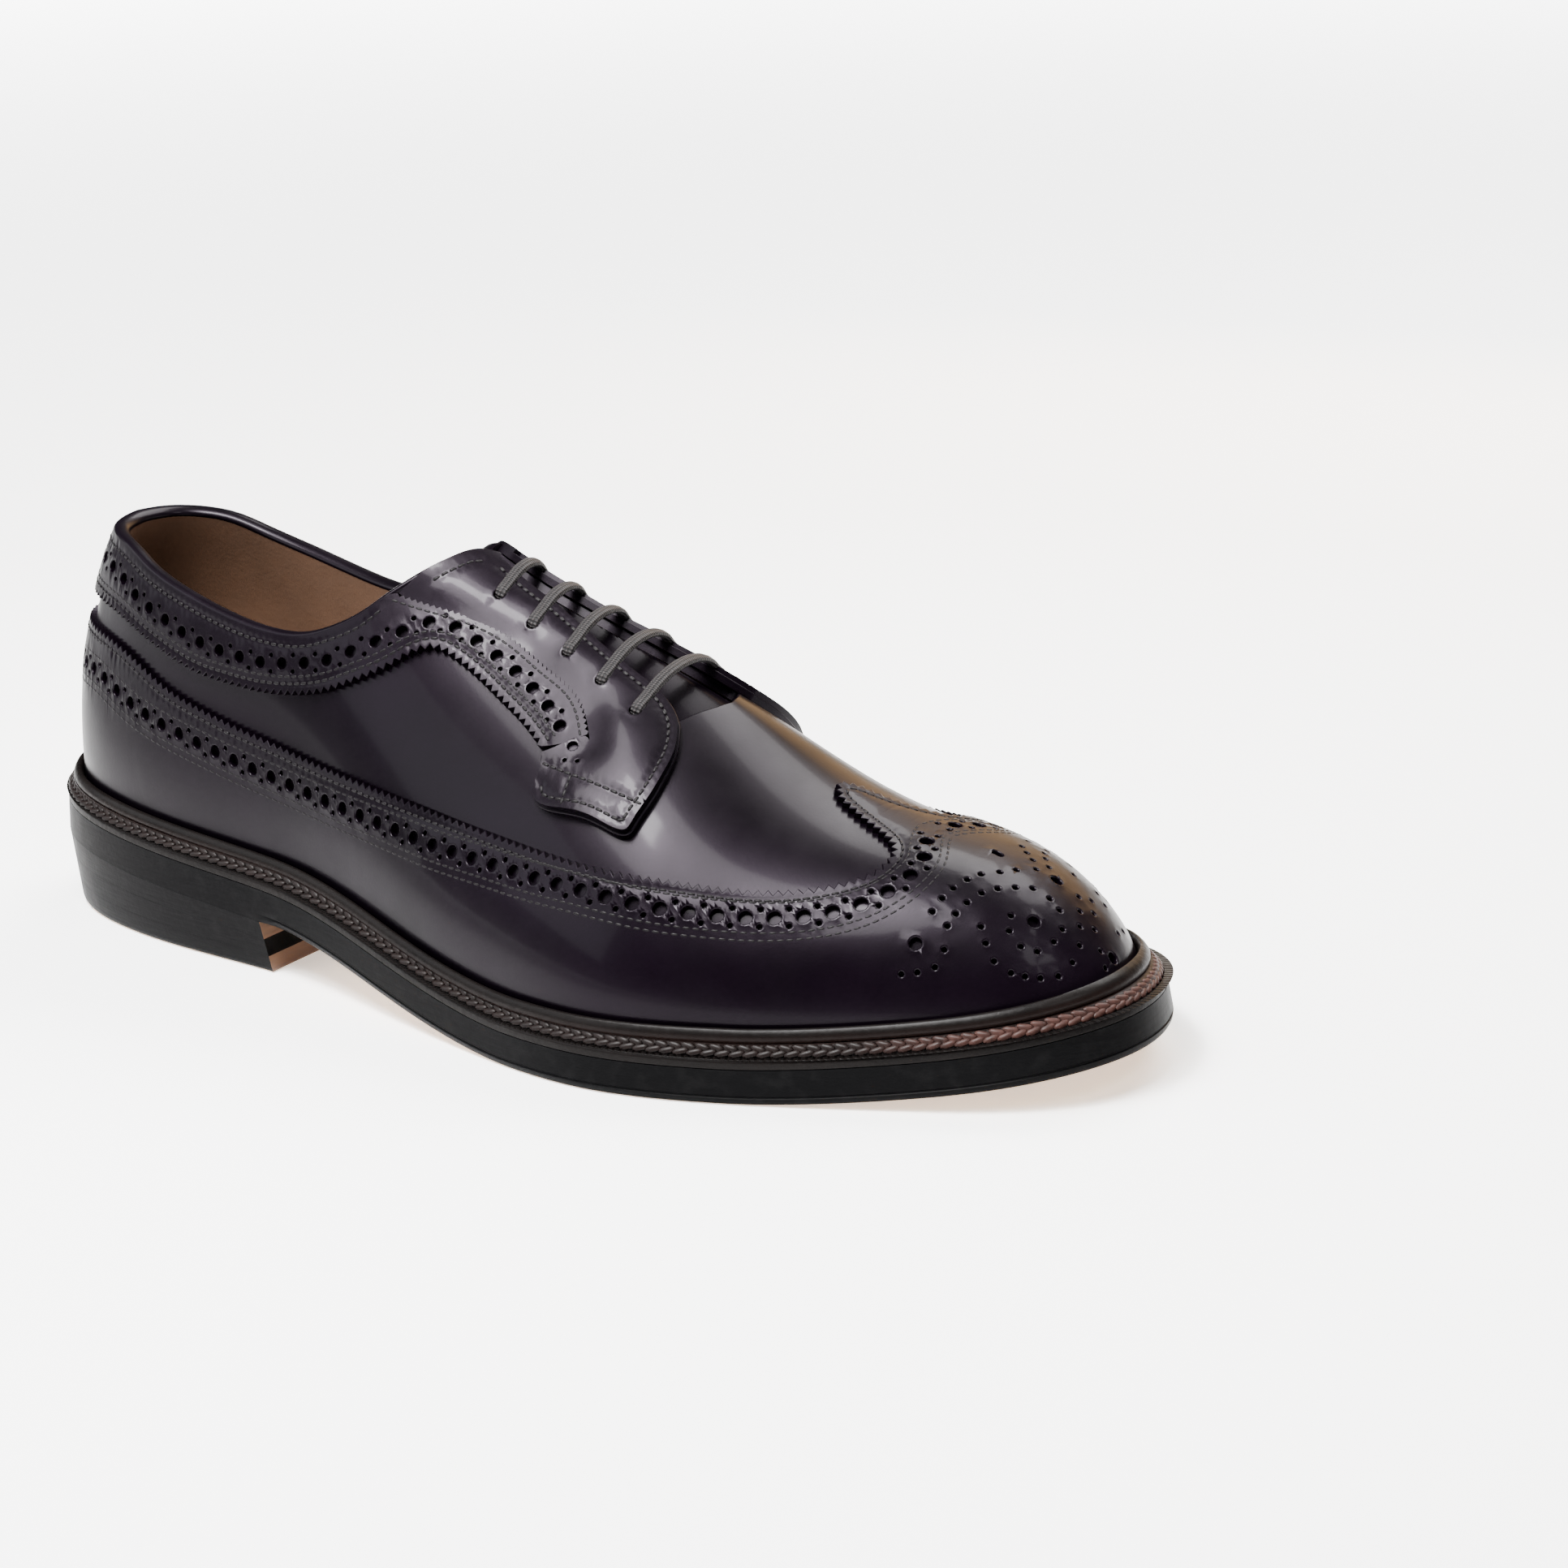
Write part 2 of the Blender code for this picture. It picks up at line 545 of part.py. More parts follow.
def lace_bar(name, share, rise):
    """A flat lace from one eyelet to its partner, lying on both facings and straight between them."""
    edge = np.interp(share, *zip(*THROAT))
    over = facing_high + GAP + LACE_THICK / 2
    stops = [(arc(share, side), t) for side in (-1, 1) for t in (rise, (rise + edge) / 2, edge)]
    order = [stops[i] for i in (0, 1, 2, 5, 4, 3)]
    path = np.array([raised(s, t, over) for s, t in order])
    ups = np.array([raised(s, t, 1) - raised(s, t, 0) for s, t in order])
    ahead = np.gradient(path, axis=0)
    wide = np.cross(ups, ahead)
    wide /= np.linalg.norm(wide, axis=1, keepdims=True)
    half, thick = LACE_WIDTH / 2, LACE_THICK / 2
    corners = [(half, 0), (half * 0.7, thick), (-half * 0.7, thick), (-half, 0), (-half * 0.7, -thick), (half * 0.7, -thick)]
    rings = [[p + w * u + n * v for u, v in corners] for p, w, n in zip(path, wide, ups)]
    loft(name, rings, WAXED_LACE)


for number, (share, rise) in enumerate(EYELETS, start=1):
    lace_bar(f"lace_bar_{number}", share, rise)
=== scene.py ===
import json

import bpy
import numpy as np
from mathutils import Matrix, Vector
from mathutils.geometry import delaunay_2d_cdt
from mathutils.kdtree import KDTree

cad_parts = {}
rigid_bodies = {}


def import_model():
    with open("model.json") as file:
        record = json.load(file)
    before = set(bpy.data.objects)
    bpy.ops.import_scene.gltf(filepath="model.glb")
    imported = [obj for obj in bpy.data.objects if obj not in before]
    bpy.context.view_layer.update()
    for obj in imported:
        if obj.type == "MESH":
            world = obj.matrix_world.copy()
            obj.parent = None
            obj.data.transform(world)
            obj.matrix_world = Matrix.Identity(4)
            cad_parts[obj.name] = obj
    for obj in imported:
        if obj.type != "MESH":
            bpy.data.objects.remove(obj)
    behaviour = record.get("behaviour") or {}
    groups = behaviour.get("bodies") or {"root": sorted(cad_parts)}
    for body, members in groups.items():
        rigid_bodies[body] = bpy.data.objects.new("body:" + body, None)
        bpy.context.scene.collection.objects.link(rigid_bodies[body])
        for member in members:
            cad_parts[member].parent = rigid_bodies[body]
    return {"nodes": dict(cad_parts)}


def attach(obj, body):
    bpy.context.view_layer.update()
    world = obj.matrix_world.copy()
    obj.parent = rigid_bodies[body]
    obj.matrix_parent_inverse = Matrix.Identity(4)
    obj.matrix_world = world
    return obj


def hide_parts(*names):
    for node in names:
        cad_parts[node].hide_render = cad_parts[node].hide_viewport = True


for left_over in list(bpy.data.objects):
    bpy.data.objects.remove(left_over)
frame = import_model()
bpy.ops.object.select_all(action="DESELECT")
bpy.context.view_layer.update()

# Camera: a long lens looking down a little on the outer side and the toe, as the photograph does.
# Lengths here and below are millimetres along the outsole: x from heel to toe, y to the inner side, z up.
LENGTH, BALL_WIDTH = 308.0, 115.0
CENTRE = np.array([153.6, -3.2, 0.0])
aim, turned, tipped, rolled, away = (215.2, 0.0, 54.9), 34.2, 17.5, -2.0, 806.0
back = Vector((np.sin(np.radians(turned)) * np.cos(np.radians(tipped)),
               -np.cos(np.radians(turned)) * np.cos(np.radians(tipped)), np.sin(np.radians(tipped))))
right = Vector((0, 0, 1)).cross(back).normalized()
up = back.cross(right)
lean = np.radians(rolled)
across, upright = right * np.cos(lean) + up * np.sin(lean), up * np.cos(lean) - right * np.sin(lean)
bpy.ops.object.camera_add()
camera = bpy.context.object
camera.data.lens, camera.data.sensor_width = 82.7, 36.0
camera.matrix_world = Matrix.Translation((Vector(aim) + back * away - Vector(CENTRE)) / 1000) @ Matrix(
    (across, upright, back)).transposed().to_4x4()
bpy.context.scene.camera = camera


# Leather outsole and midsole: two layers with one waxed black edge, natural tan leather underneath, sewn
# in a channel round the forefoot, with wheel marks inside the stitches.
OUTLINE = [
    (0.000, 0.000), (0.030, -0.165), (0.114, -0.283), (0.211, -0.325), (0.323, -0.352), (0.437, -0.425),
    (0.552, -0.497), (0.650, -0.527), (0.762, -0.452), (0.869, -0.333), (0.950, -0.215), (0.996, -0.035),
    (0.985, 0.165), (0.938, 0.325), (0.830, 0.452), (0.731, 0.473), (0.617, 0.413), (0.487, 0.288),
    (0.357, 0.243), (0.227, 0.278), (0.114, 0.290), (0.030, 0.185),
]
SEAT_HEIGHT, BREAST_HEIGHT, BREAST_X, TOE_SPRING = 19.9, 13.2, 90.0, 9.6
TREAD_START, TREAD_END = 0.584, 0.753
OUTSOLE, MIDSOLE, WELT, LAYER_GAP = 4.8, 2.9, 2.1, 0.3
FOOT_HEIGHT = OUTSOLE + MIDSOLE + 2 * LAYER_GAP


def spline(rows, closed=False):
    """A natural cubic through the rows against their first column, or a closed one."""
    rows = np.asarray(rows, float)
    at, values = rows[:, 0], rows[:, 1:]
    count, step = len(at), np.diff(at)
    size = count - 1 if closed else count
    left, right = np.zeros((size, size)), np.zeros((size, values.shape[1]))
    for i in range(size):
        if not closed and i in (0, size - 1):
            left[i, i] = 1.0
            continue
        before, after = step[i - 1], step[i]
        previous = values[i - 1] if i else values[count - 2]
        left[i, (i - 1) % size] += before
        left[i, i] += 2 * (before + after)
        left[i, (i + 1) % size] += after
        right[i] = 6 * ((values[i + 1] - values[i]) / after - (values[i] - previous) / before)
    bend = np.linalg.solve(left, right)
    if closed:
        bend = np.vstack([bend, bend[:1]])

    def curve(x):
        x = np.asarray(x, float)
        flat = x.ravel()
        if closed:
            flat = at[0] + np.mod(flat - at[0], at[-1] - at[0])
        flat = np.clip(flat, at[0], at[-1])
        k = np.clip(np.searchsorted(at, flat, side="right") - 1, 0, count - 2)
        u, h = (flat - at[k])[:, None], step[k][:, None]
        a, b, m, n = values[k], values[k + 1], bend[k], bend[k + 1]
        y = a + u * ((b - a) / h - h * (2 * m + n) / 6) + u * u * m / 2 + u**3 * (n - m) / (6 * h)
        return y.reshape(x.shape + (values.shape[1],))

    return curve


ring_rows = np.array(OUTLINE + OUTLINE[:1]) * (LENGTH, BALL_WIDTH)
ring_run = np.r_[0, np.cumsum(np.hypot(*np.diff(ring_rows, axis=0).T))]
RING, ROUND = spline(np.column_stack([ring_run, ring_rows]), closed=True), ring_run[-1]


def outline(s, inset=0.0):
    """Plan points of the sole's edge at the arcs s, moved in by an inset."""
    s = np.asarray(s, float)
    p, ahead = RING(s), RING(s + 0.5) - RING(s - 0.5)
    ahead /= np.linalg.norm(ahead, axis=-1, keepdims=True)
    inward = np.stack([-ahead[..., 1], ahead[..., 0]], -1)
    return p + inward * np.broadcast_to(np.asarray(inset, float), s.shape)[..., None]


def underside(x):
    """Height of the sole's underside: heel seat, shank, flat tread, toe spring."""
    x = np.asarray(x, float)
    fall = (BREAST_HEIGHT - SEAT_HEIGHT) / BREAST_X
    shank = TREAD_START * LENGTH - BREAST_X
    u = np.clip((x - BREAST_X) / shank, 0, 1)
    arch = BREAST_HEIGHT * (1 + 2 * u) * (1 - u) ** 2 + fall * shank * u * (1 - u) ** 2
    v = np.clip((x / LENGTH - TREAD_END) / (1 - TREAD_END), 0, 2)
    return np.where(x < BREAST_X, SEAT_HEIGHT + fall * x, np.where(u < 1, arch, TOE_SPRING * v**1.7))


def lift(plan, height):
    """The plan points raised from the underside, square to it."""
    x = plan[..., 0]
    slope = (underside(x + 1) - underside(x - 1)) / 2
    square = np.sqrt(1 + slope**2)
    return np.stack([x - height * slope / square, plan[..., 1], underside(x) + height / square], -1)


def placed(name, points, faces, finishes, which=None, uv=None, smooth=40):
    """One finished object from points in millimetres, smooth but for edges sharper than an angle."""
    mesh = bpy.data.meshes.new(name)
    mesh.from_pydata(((np.asarray(points) - CENTRE) / 1000).tolist(), [], [list(face) for face in faces])
    for finish in finishes:
        mesh.materials.append(finish)
    if which is not None:
        mesh.polygons.foreach_set("material_index", np.asarray(which, np.int32))
    if uv is not None:
        corner = np.empty(len(mesh.loops), np.int32)
        mesh.loops.foreach_get("vertex_index", corner)
        mesh.uv_layers.new(name="UVMap").data.foreach_set("uv", np.asarray(uv, np.float32)[corner].ravel())
    piece = bpy.data.objects.new(name, mesh)
    bpy.context.scene.collection.objects.link(piece)
    bpy.ops.object.select_all(action="DESELECT")
    piece.select_set(True)
    bpy.context.view_layer.objects.active = piece
    bpy.ops.object.shade_smooth_by_angle(angle=np.radians(smooth))
    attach(piece, "root")
    return piece


class Link:
    """A shader socket that takes part in sums."""

    def __init__(self, tree, socket):
        self.tree, self.socket = tree, socket

    def math(self, operation, *others):
        return Shop(self.tree).node("ShaderNodeMath", {"operation": operation}, (self, *others))

    def __add__(self, other):
        return self.math("ADD", other)

    def __sub__(self, other):
        return self.math("SUBTRACT", other)

    def __mul__(self, other):
        return self.math("MULTIPLY", other)

    def __truediv__(self, other):
        return self.math("DIVIDE", other)

    def __rsub__(self, other):
        return Shop(self.tree).node("ShaderNodeMath", {"operation": "SUBTRACT"}, (other, self))

    __radd__, __rmul__ = __add__, __mul__


class Shop:
    """Makes the nodes of one material."""

    def __init__(self, tree):
        self.tree = tree

    def node(self, kind, settings=None, inputs=(), out=0):
        made = self.tree.nodes.new(kind)
        for key, value in (settings or {}).items():
            if key == "stops":
                ramp = made.color_ramp
                while len(ramp.elements) < len(value):
                    ramp.elements.new(0.5)
                for element, (place, colour) in zip(ramp.elements, value):
                    shade = tuple(colour) if np.ndim(colour) else (colour,) * 3
                    element.position, element.color = place, (*shade, 1)
            else:
                setattr(made, key, value)
        items = inputs.items() if isinstance(inputs, dict) else enumerate(inputs)
        for key, value in items:
            self.join(value, made.inputs[key])
        return Link(self.tree, made.outputs[out])

    def join(self, value, socket):
        if isinstance(value, Link):
            self.tree.links.new(value.socket, socket)
        elif np.ndim(value) and len(value) == 3 and socket.type == "RGBA":
            socket.default_value = (*value, 1)
        else:
            socket.default_value = value

    def place(self):
        return self.node("ShaderNodeTexCoord", out="Object")

    def axes(self, where):
        """The first two numbers of a place."""
        first = self.node("ShaderNodeSeparateXYZ", {}, (where,))
        return first, Link(self.tree, first.socket.node.outputs[1])

    def along_and_across(self):
        """The two numbers of the piece's own UV map."""
        return self.axes(self.node("ShaderNodeUVMap", {"uv_map": "UVMap"}))

    def noise(self, scale, detail=3.0, where=None):
        inputs = {"Vector": where or self.place(), "Scale": scale, "Detail": detail, "Roughness": 0.5}
        return self.node("ShaderNodeTexNoise", {}, inputs)

    def ramp(self, value, *stops):
        return self.node("ShaderNodeValToRGB", {"stops": stops}, (value,))

    def mix(self, share, a, b):
        return self.node("ShaderNodeMix", {"data_type": "RGBA"}, {0: share, 6: a, 7: b}, out=2)

    def bump(self, height, depth, strength=1.0, after=None):
        inputs = {"Height": height, "Distance": depth, "Strength": strength}
        if after:
            inputs["Normal"] = after
        return self.node("ShaderNodeBump", {}, inputs)


def finish(name, **fixed):
    """A new material, its node maker, and a call that wires its shader's sockets."""
    made = bpy.data.materials.new(name)
    made.use_nodes = True
    shader = made.node_tree.nodes["Principled BSDF"]
    shop = Shop(made.node_tree)
    for socket, value in fixed.items():
        shop.join(value, shader.inputs[socket.replace("_", " ")])
    return made, shop, lambda socket, value: shop.join(value, shader.inputs[socket])


EDGE_BLACK, shop, wire = finish("waxed_edge", Coat_Weight=0.01, Coat_Roughness=0.25, Specular_IOR_Level=0.02)
wear = shop.noise(260, 5)
worn = shop.ramp(wear, (0.5, 0.0), (0.8, 1.0))
wire("Base Color", shop.mix(worn, (0.0012, 0.0012, 0.0014), (0.0035, 0.0034, 0.0036)))
wire("Roughness", 0.36 + 0.16 * wear)
grain = shop.noise(90, 4, shop.node("ShaderNodeMapping", {}, {"Vector": shop.place(), "Scale": (1, 1, 12)}))
wire("Normal", shop.bump(shop.noise(900, 3), 0.00005, 0.6, shop.bump(grain, 0.00012, 0.5)))

TAN_SOLE, shop, wire = finish("tan_sole", Coat_Weight=0.12, Coat_Roughness=0.35)
cloud, speck = shop.noise(28, 5), shop.noise(1400, 2)
TICK_PITCH = 2.9
run_round, from_edge = shop.along_and_across()
tick = shop.ramp((run_round / TICK_PITCH).math("FRACT"), (0.0, 0.0), (0.18, 1.0), (0.42, 1.0), (0.6, 0.0))
rail = shop.ramp(from_edge / 30, (0.34, 0.0), (0.36, 1.0), (0.47, 1.0), (0.475, 0.0), (0.50, 0.0),
                 (0.505, 1.0), (0.545, 1.0), (0.56, 0.0))
mark = tick * rail
tan = shop.mix(shop.ramp(cloud, (0.3, 0.0), (0.7, 1.0)), (0.56, 0.335, 0.15), (0.70, 0.46, 0.22))
wire("Base Color", shop.mix(mark * 0.5, tan, (0.40, 0.22, 0.09)))
wire("Roughness", 0.34 + 0.2 * speck)
wire("Normal", shop.bump(speck * 0.1 - mark, 0.0003, 0.8))

SLICES = 230


def paired(first, end, closing):
    """Arcs of the sole's edge at shared stations, out along the outer side and back along the inner side."""
    at = first + (end - first) * closing
    outer = np.interp(at, EDGE[: EDGE_TOE + 1, 0], ARCS[: EDGE_TOE + 1])
    inner = np.interp(at, EDGE[EDGE_TOE:, 0][::-1], ARCS[EDGE_TOE:][::-1])
    return np.r_[outer, inner[::-1]]


ARCS = np.linspace(0, ROUND, 2401)
EDGE = RING(ARCS)
EDGE_TOE = int(EDGE[:, 0].argmax())
HEEL_END, TOE_END = EDGE[:, 0].min(), EDGE[:, 0].max()
slices = paired(HEEL_END, TOE_END, (1 - np.cos(np.linspace(0, np.pi, SLICES + 1)[1:-1])) / 2)


def loft(name, rings, finishes, which, uv=None, smooth=40, ends=(0, 0)):
    """A closed piece through rings, its two ends closed straight across from the outer to the inner side."""
    rings = np.asarray(rings)
    levels, count = rings.shape[:2]
    i = np.arange(count)
    j = (i + 1) % count
    faces = [np.column_stack([k * count + i, k * count + j, (k + 1) * count + j, (k + 1) * count + i])
             for k in range(levels - 1)]
    a = np.arange(count // 2 - 1)
    low = np.column_stack([a + 1, a, count - 1 - a, count - 2 - a])
    faces += [low, low[:, ::-1] + (levels - 1) * count]
    paint = np.concatenate([np.broadcast_to(w, count) for w in which] + [np.full(len(a), e) for e in ends])
    return placed(name, rings.reshape(-1, 3), np.vstack(faces).tolist(), finishes, paint, uv, smooth)


# Profile of the outsole from inside its underside out to the edge and up: inset, height, and 1 where the
# strip on to the next row is tan under the forefoot. The rounded lower corner fades out towards the heel.
# The two layers almost close the gap between them.
CLOSE_UP = LAYER_GAP / 2 - 0.001
fore = np.clip((RING(slices)[:, 0] - BREAST_X) / 6, 0, 1)
sole_rows = [(17, 0, 1), (13.5, 0, 1), (10, 0, 1), (5.6, 0, 1), (5.2, 0.3, 1), (4.0, 0.3, 1), (3.6, 0, 1),
             (1.2, 0.0, 1), (0.75, 0.15, 0), (0.28, 0.75, 0), (0.02, 1.6, 0), (0.25, 1.85, 0), (0.25, 2.0, 0),
             (0.0, 2.25, 0), (0.0, 3.4, 0), (0.0, OUTSOLE + CLOSE_UP, 0), (0.5, OUTSOLE + CLOSE_UP, 0)]
rings = [lift(outline(slices, inset * (fore if inset < 1.3 else 1)), h) for inset, h, _ in sole_rows]
uv = np.concatenate([np.column_stack([slices, np.full(len(slices), inset)]) for inset, _, _ in sole_rows])
tan = np.where(fore > 0.5, 1, 0)
outsole = loft("outsole_leather", rings, [EDGE_BLACK, TAN_SOLE], [row[2] * tan for row in sole_rows[:-1]], uv,
               ends=(1, 0))
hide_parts("outsole")
mid_rows = [(0.5, -CLOSE_UP), (0.0, -CLOSE_UP), (0.0, MIDSOLE + CLOSE_UP), (0.5, MIDSOLE + CLOSE_UP)]
rings = [lift(outline(slices, inset), OUTSOLE + LAYER_GAP + h) for inset, h in mid_rows]
midsole = loft("midsole_leather", rings, [EDGE_BLACK], [0] * (len(mid_rows) - 1))
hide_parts("midsole")


# Sole stitches: thick waxed thread in the open channel under the forefoot, each stitch one short capsule.
def capsule():
    """One stitch along x, one unit long, wide and high."""
    bpy.ops.object.select_all(action="DESELECT")
    bpy.ops.mesh.primitive_uv_sphere_add(segments=6, ring_count=5, radius=0.5, rotation=(0, np.pi / 2, 0))
    made = bpy.context.object
    bpy.ops.object.transform_apply(rotation=True)
    points = np.array([v.co for v in made.data.vertices])
    points[:, 0] = np.sign(points[:, 0]) * np.abs(2 * points[:, 0]) ** 0.6 / 2
    faces = [list(face.vertices) for face in made.data.polygons]
    bpy.data.objects.remove(made)
    return points, faces


STITCH = capsule()


def repeated(name, middles, aheads, ups, size, finish_used, shape=None):
    """Copies of one small shape in one piece: middles, directions along, directions up, size."""
    points, faces = shape or STITCH
    aheads = aheads / np.linalg.norm(aheads, axis=1, keepdims=True)
    sides = np.cross(ups, aheads)
    sides /= np.linalg.norm(sides, axis=1, keepdims=True)
    ups = np.cross(aheads, sides)
    size = np.broadcast_to(np.asarray(size, float), (len(middles), 3))
    local = points[None] * size[:, None]
    where = (middles[:, None] + local[..., :1] * aheads[:, None] + local[..., 1:2] * sides[:, None]
             + local[..., 2:] * ups[:, None]).reshape(-1, 3)
    every = [[v + k * len(points) for v in face] for k in range(len(middles)) for face in faces]
    return placed(name, where, every, [finish_used], smooth=80)


TAN_THREAD, shop, wire = finish("tan_thread")
wire("Base Color", shop.mix(shop.noise(700, 3), (0.38, 0.24, 0.11), (0.72, 0.55, 0.33)))
wire("Roughness", 0.5 + 0.3 * shop.noise(900, 2))
CHANNEL_INSET, CHANNEL_DEPTH, CHANNEL_PITCH = 4.6, 0.22, 4.3
in_channel = np.arange(0, ROUND, CHANNEL_PITCH)
in_channel = in_channel[outline(in_channel)[:, 0] > BREAST_X + 9]
spots = lift(outline(in_channel, CHANNEL_INSET), CHANNEL_DEPTH)
sole_stitches = repeated("sole_stitches", spots,
                         lift(outline(in_channel + 1, CHANNEL_INSET), CHANNEL_DEPTH) - spots,
                         np.tile((0.0, 0, 1), (len(spots), 1)), (3.7, 1.15, 0.5), TAN_THREAD)


# Stacked heel: three leather lifts, black and seamless at the sides, brown and black layers at the breast,
# with a tan bottom and a row of nails near its edge.
HEEL_TAPER, BREAST_LEAN, HEEL_SLICES = 1.8, 1.8, 90
NAIL_PITCH, NAIL_INSET = 6.4, 8.0
LIFT_BROWN, shop, wire = finish("lift_brown")
layered = shop.node("ShaderNodeMapping", {}, {"Vector": shop.place(), "Scale": (1, 0.3, 5)})
streak = shop.noise(160, 5, layered)
wire("Base Color", shop.mix(streak, (0.03, 0.013, 0.006), (0.11, 0.052, 0.024)))
wire("Roughness", 0.45 + 0.2 * streak)
wire("Normal", shop.bump(streak, 0.0002, 0.6))


def heel_ring(share, inset=0.0):
    """The stacked heel's rim at a share of its height, with its straight breast."""
    front = BREAST_X + BREAST_LEAN * (1 - share) - inset
    closing = 1 - np.cos(np.linspace(0, np.pi / 2, HEEL_SLICES + 1)[1:])
    plan = outline(paired(HEEL_END, front, closing), HEEL_TAPER * (1 - share) + inset)
    plan[HEEL_SLICES - 1 : HEEL_SLICES + 1, 0] = front
    return np.column_stack([plan, share * (underside(plan[:, 0]) - 0.02)])


# The bottom has the sole's tan leather. Its UV map stays at one inset, where there are no wheel marks.
breast = np.zeros(2 * HEEL_SLICES, int)
breast[HEEL_SLICES - 1] = 1
for number, (name, node, face) in enumerate([("top_lift_leather", "top_lift", LIFT_BROWN),
                                             ("middle_lift_leather", "middle_lift", EDGE_BLACK),
                                             ("seat_lift_leather", "seat_lift", LIFT_BROWN)]):
    low, high = number / 3, (number + 1) / 3
    if number == 0:
        steps = [(0, 12), (0, 1.1), (0.015, 0.45), (0.05, 0.1), (0.09, 0), (high - 0.001, 0)]
        which = [np.full(len(breast), 2)] * 2 + [breast] * 3
    else:
        steps, which = [(low + 0.001, 0), (high - 0.001, 0)], [breast]
    rings = [heel_ring(share, inset) for share, inset in steps]
    plain = np.full((len(steps) * len(breast), 2), 17.0)
    piece = loft(name, rings, [EDGE_BLACK, face, TAN_SOLE], which, plain, ends=(2 if number == 0 else 0, 0))
    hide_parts(node)

NAIL, shop, wire = finish("heel_nail", Metallic=1.0)
wire("Base Color", shop.mix(shop.noise(500, 2), (0.25, 0.16, 0.08), (0.55, 0.42, 0.26)))
wire("Roughness", 0.3 + 0.3 * shop.noise(800, 2))
pegs = np.arange(0, ROUND, NAIL_PITCH)
pegs = outline(pegs, NAIL_INSET)[outline(pegs)[:, 0] < BREAST_X - 8]
spots = np.column_stack([pegs, np.full(len(pegs), 0.12)])
nails = repeated("heel_nails", spots, np.tile((1.0, 0, 0), (len(pegs), 1)),
                 np.tile((0, 0, 1.0), (len(pegs), 1)), (1.7, 1.7, 0.3), NAIL)


# Upper: vamp and quarters of very dark aubergine shell leather over the last, lined with brown calf, open
# at the collar and down the throat, where it is laced.
INSTEP_HEIGHT, SWELL, FOOT_SET_IN = 94.0, 3.5, 8.3
WALL, OVERLAY_GAP, OVERLAY, FACING = 2.2, 0.5, 1.1, 2.3
FOOT_INSET = [(0.00, 0.77), (0.16, 0.82), (0.36, 0.94), (0.55, 1.00), (1.00, 0.99)]
RIDGE = [
    (0.065, 1.319, 0.000), (0.195, 1.314, 0.009), (0.325, 1.234, 0.017), (0.406, 1.106, 0.026),
    (0.471, 1.000, 0.030), (0.536, 0.915, 0.035), (0.601, 0.828, 0.035), (0.666, 0.716, 0.035),
    (0.731, 0.590, 0.035), (0.795, 0.519, 0.030), (0.851, 0.485, 0.026), (0.909, 0.431, 0.022),
    (0.974, 0.340, 0.017),
]
SECTION = [
    (0.026, 1.90, 0.85, 0.14), (0.130, 1.50, 0.80, 0.23), (0.260, 0.95, 0.85, 0.43),
    (0.390, 1.15, 0.95, 0.71), (0.487, 1.30, 1.00, 1.00), (0.584, 1.25, 1.00, 0.91),
    (0.682, 1.12, 0.95, 0.63), (0.779, 0.95, 0.90, 0.34), (0.877, 0.78, 1.00, 0.23),
    (0.974, 0.80, 0.95, 0.23),
]
HEEL_FAN, TOE_FAN = (0.195, 0.026, 0.149), (0.747, 0.974, 0.877)
TOPLINE = [
    (0.000, 0.472), (0.026, 0.470), (0.071, 0.456), (0.117, 0.437), (0.149, 0.412), (0.195, 0.388),
    (0.247, 0.378), (0.292, 0.388), (0.325, 0.420), (0.351, 0.475), (0.370, 0.535), (0.386, 0.610),
    (0.403, 0.705), (0.419, 0.810), (0.432, 0.895),
]
THROAT = [
    (0.445, 0.935), (0.468, 0.907), (0.510, 0.877), (0.545, 0.845), (0.584, 0.823), (0.610, 0.815),
    (0.627, 0.795),
]
THROAT_END = [(0.637, 0.845), (0.643, 0.920), (0.646, 1.000)]
EYELETS = [(0.464, 0.793), (0.498, 0.772), (0.534, 0.755), (0.570, 0.738), (0.606, 0.720)]
EYELET_RADIUS = 1.5

top_line = spline(np.array(RIDGE) * (LENGTH, INSTEP_HEIGHT, BALL_WIDTH))
section = spline(np.array(SECTION) * (LENGTH, 1, 1, SWELL))
foot_inset = spline(np.array(FOOT_INSET) * (LENGTH, FOOT_SET_IN))


def meeting(x):
    """Station on the top line where the ray from foot station x ends."""
    first, end, onto = np.array(HEEL_FAN) * LENGTH
    u = np.clip((first - x) / (first - end), 0, 1.3)
    heel = first - (first - end) * u + (onto - end) * u * u
    start, end, behind = np.array(TOE_FAN) * LENGTH
    v = np.clip((x - start) / (end - start), 0, 1.3)
    toe = start + (end - start) * v - (end - behind) * v * v
    return np.where(x < first, heel, np.where(x > start, toe, x))


def ray_ends(s):
    """Where the rays up the side start on the sole and end on the top line, in plan."""
    low = outline(s, foot_inset(RING(s)[..., 0])[..., 0])
    at = meeting(low[..., 0])
    return low, np.stack([at, top_line(at)[..., 1]], -1)


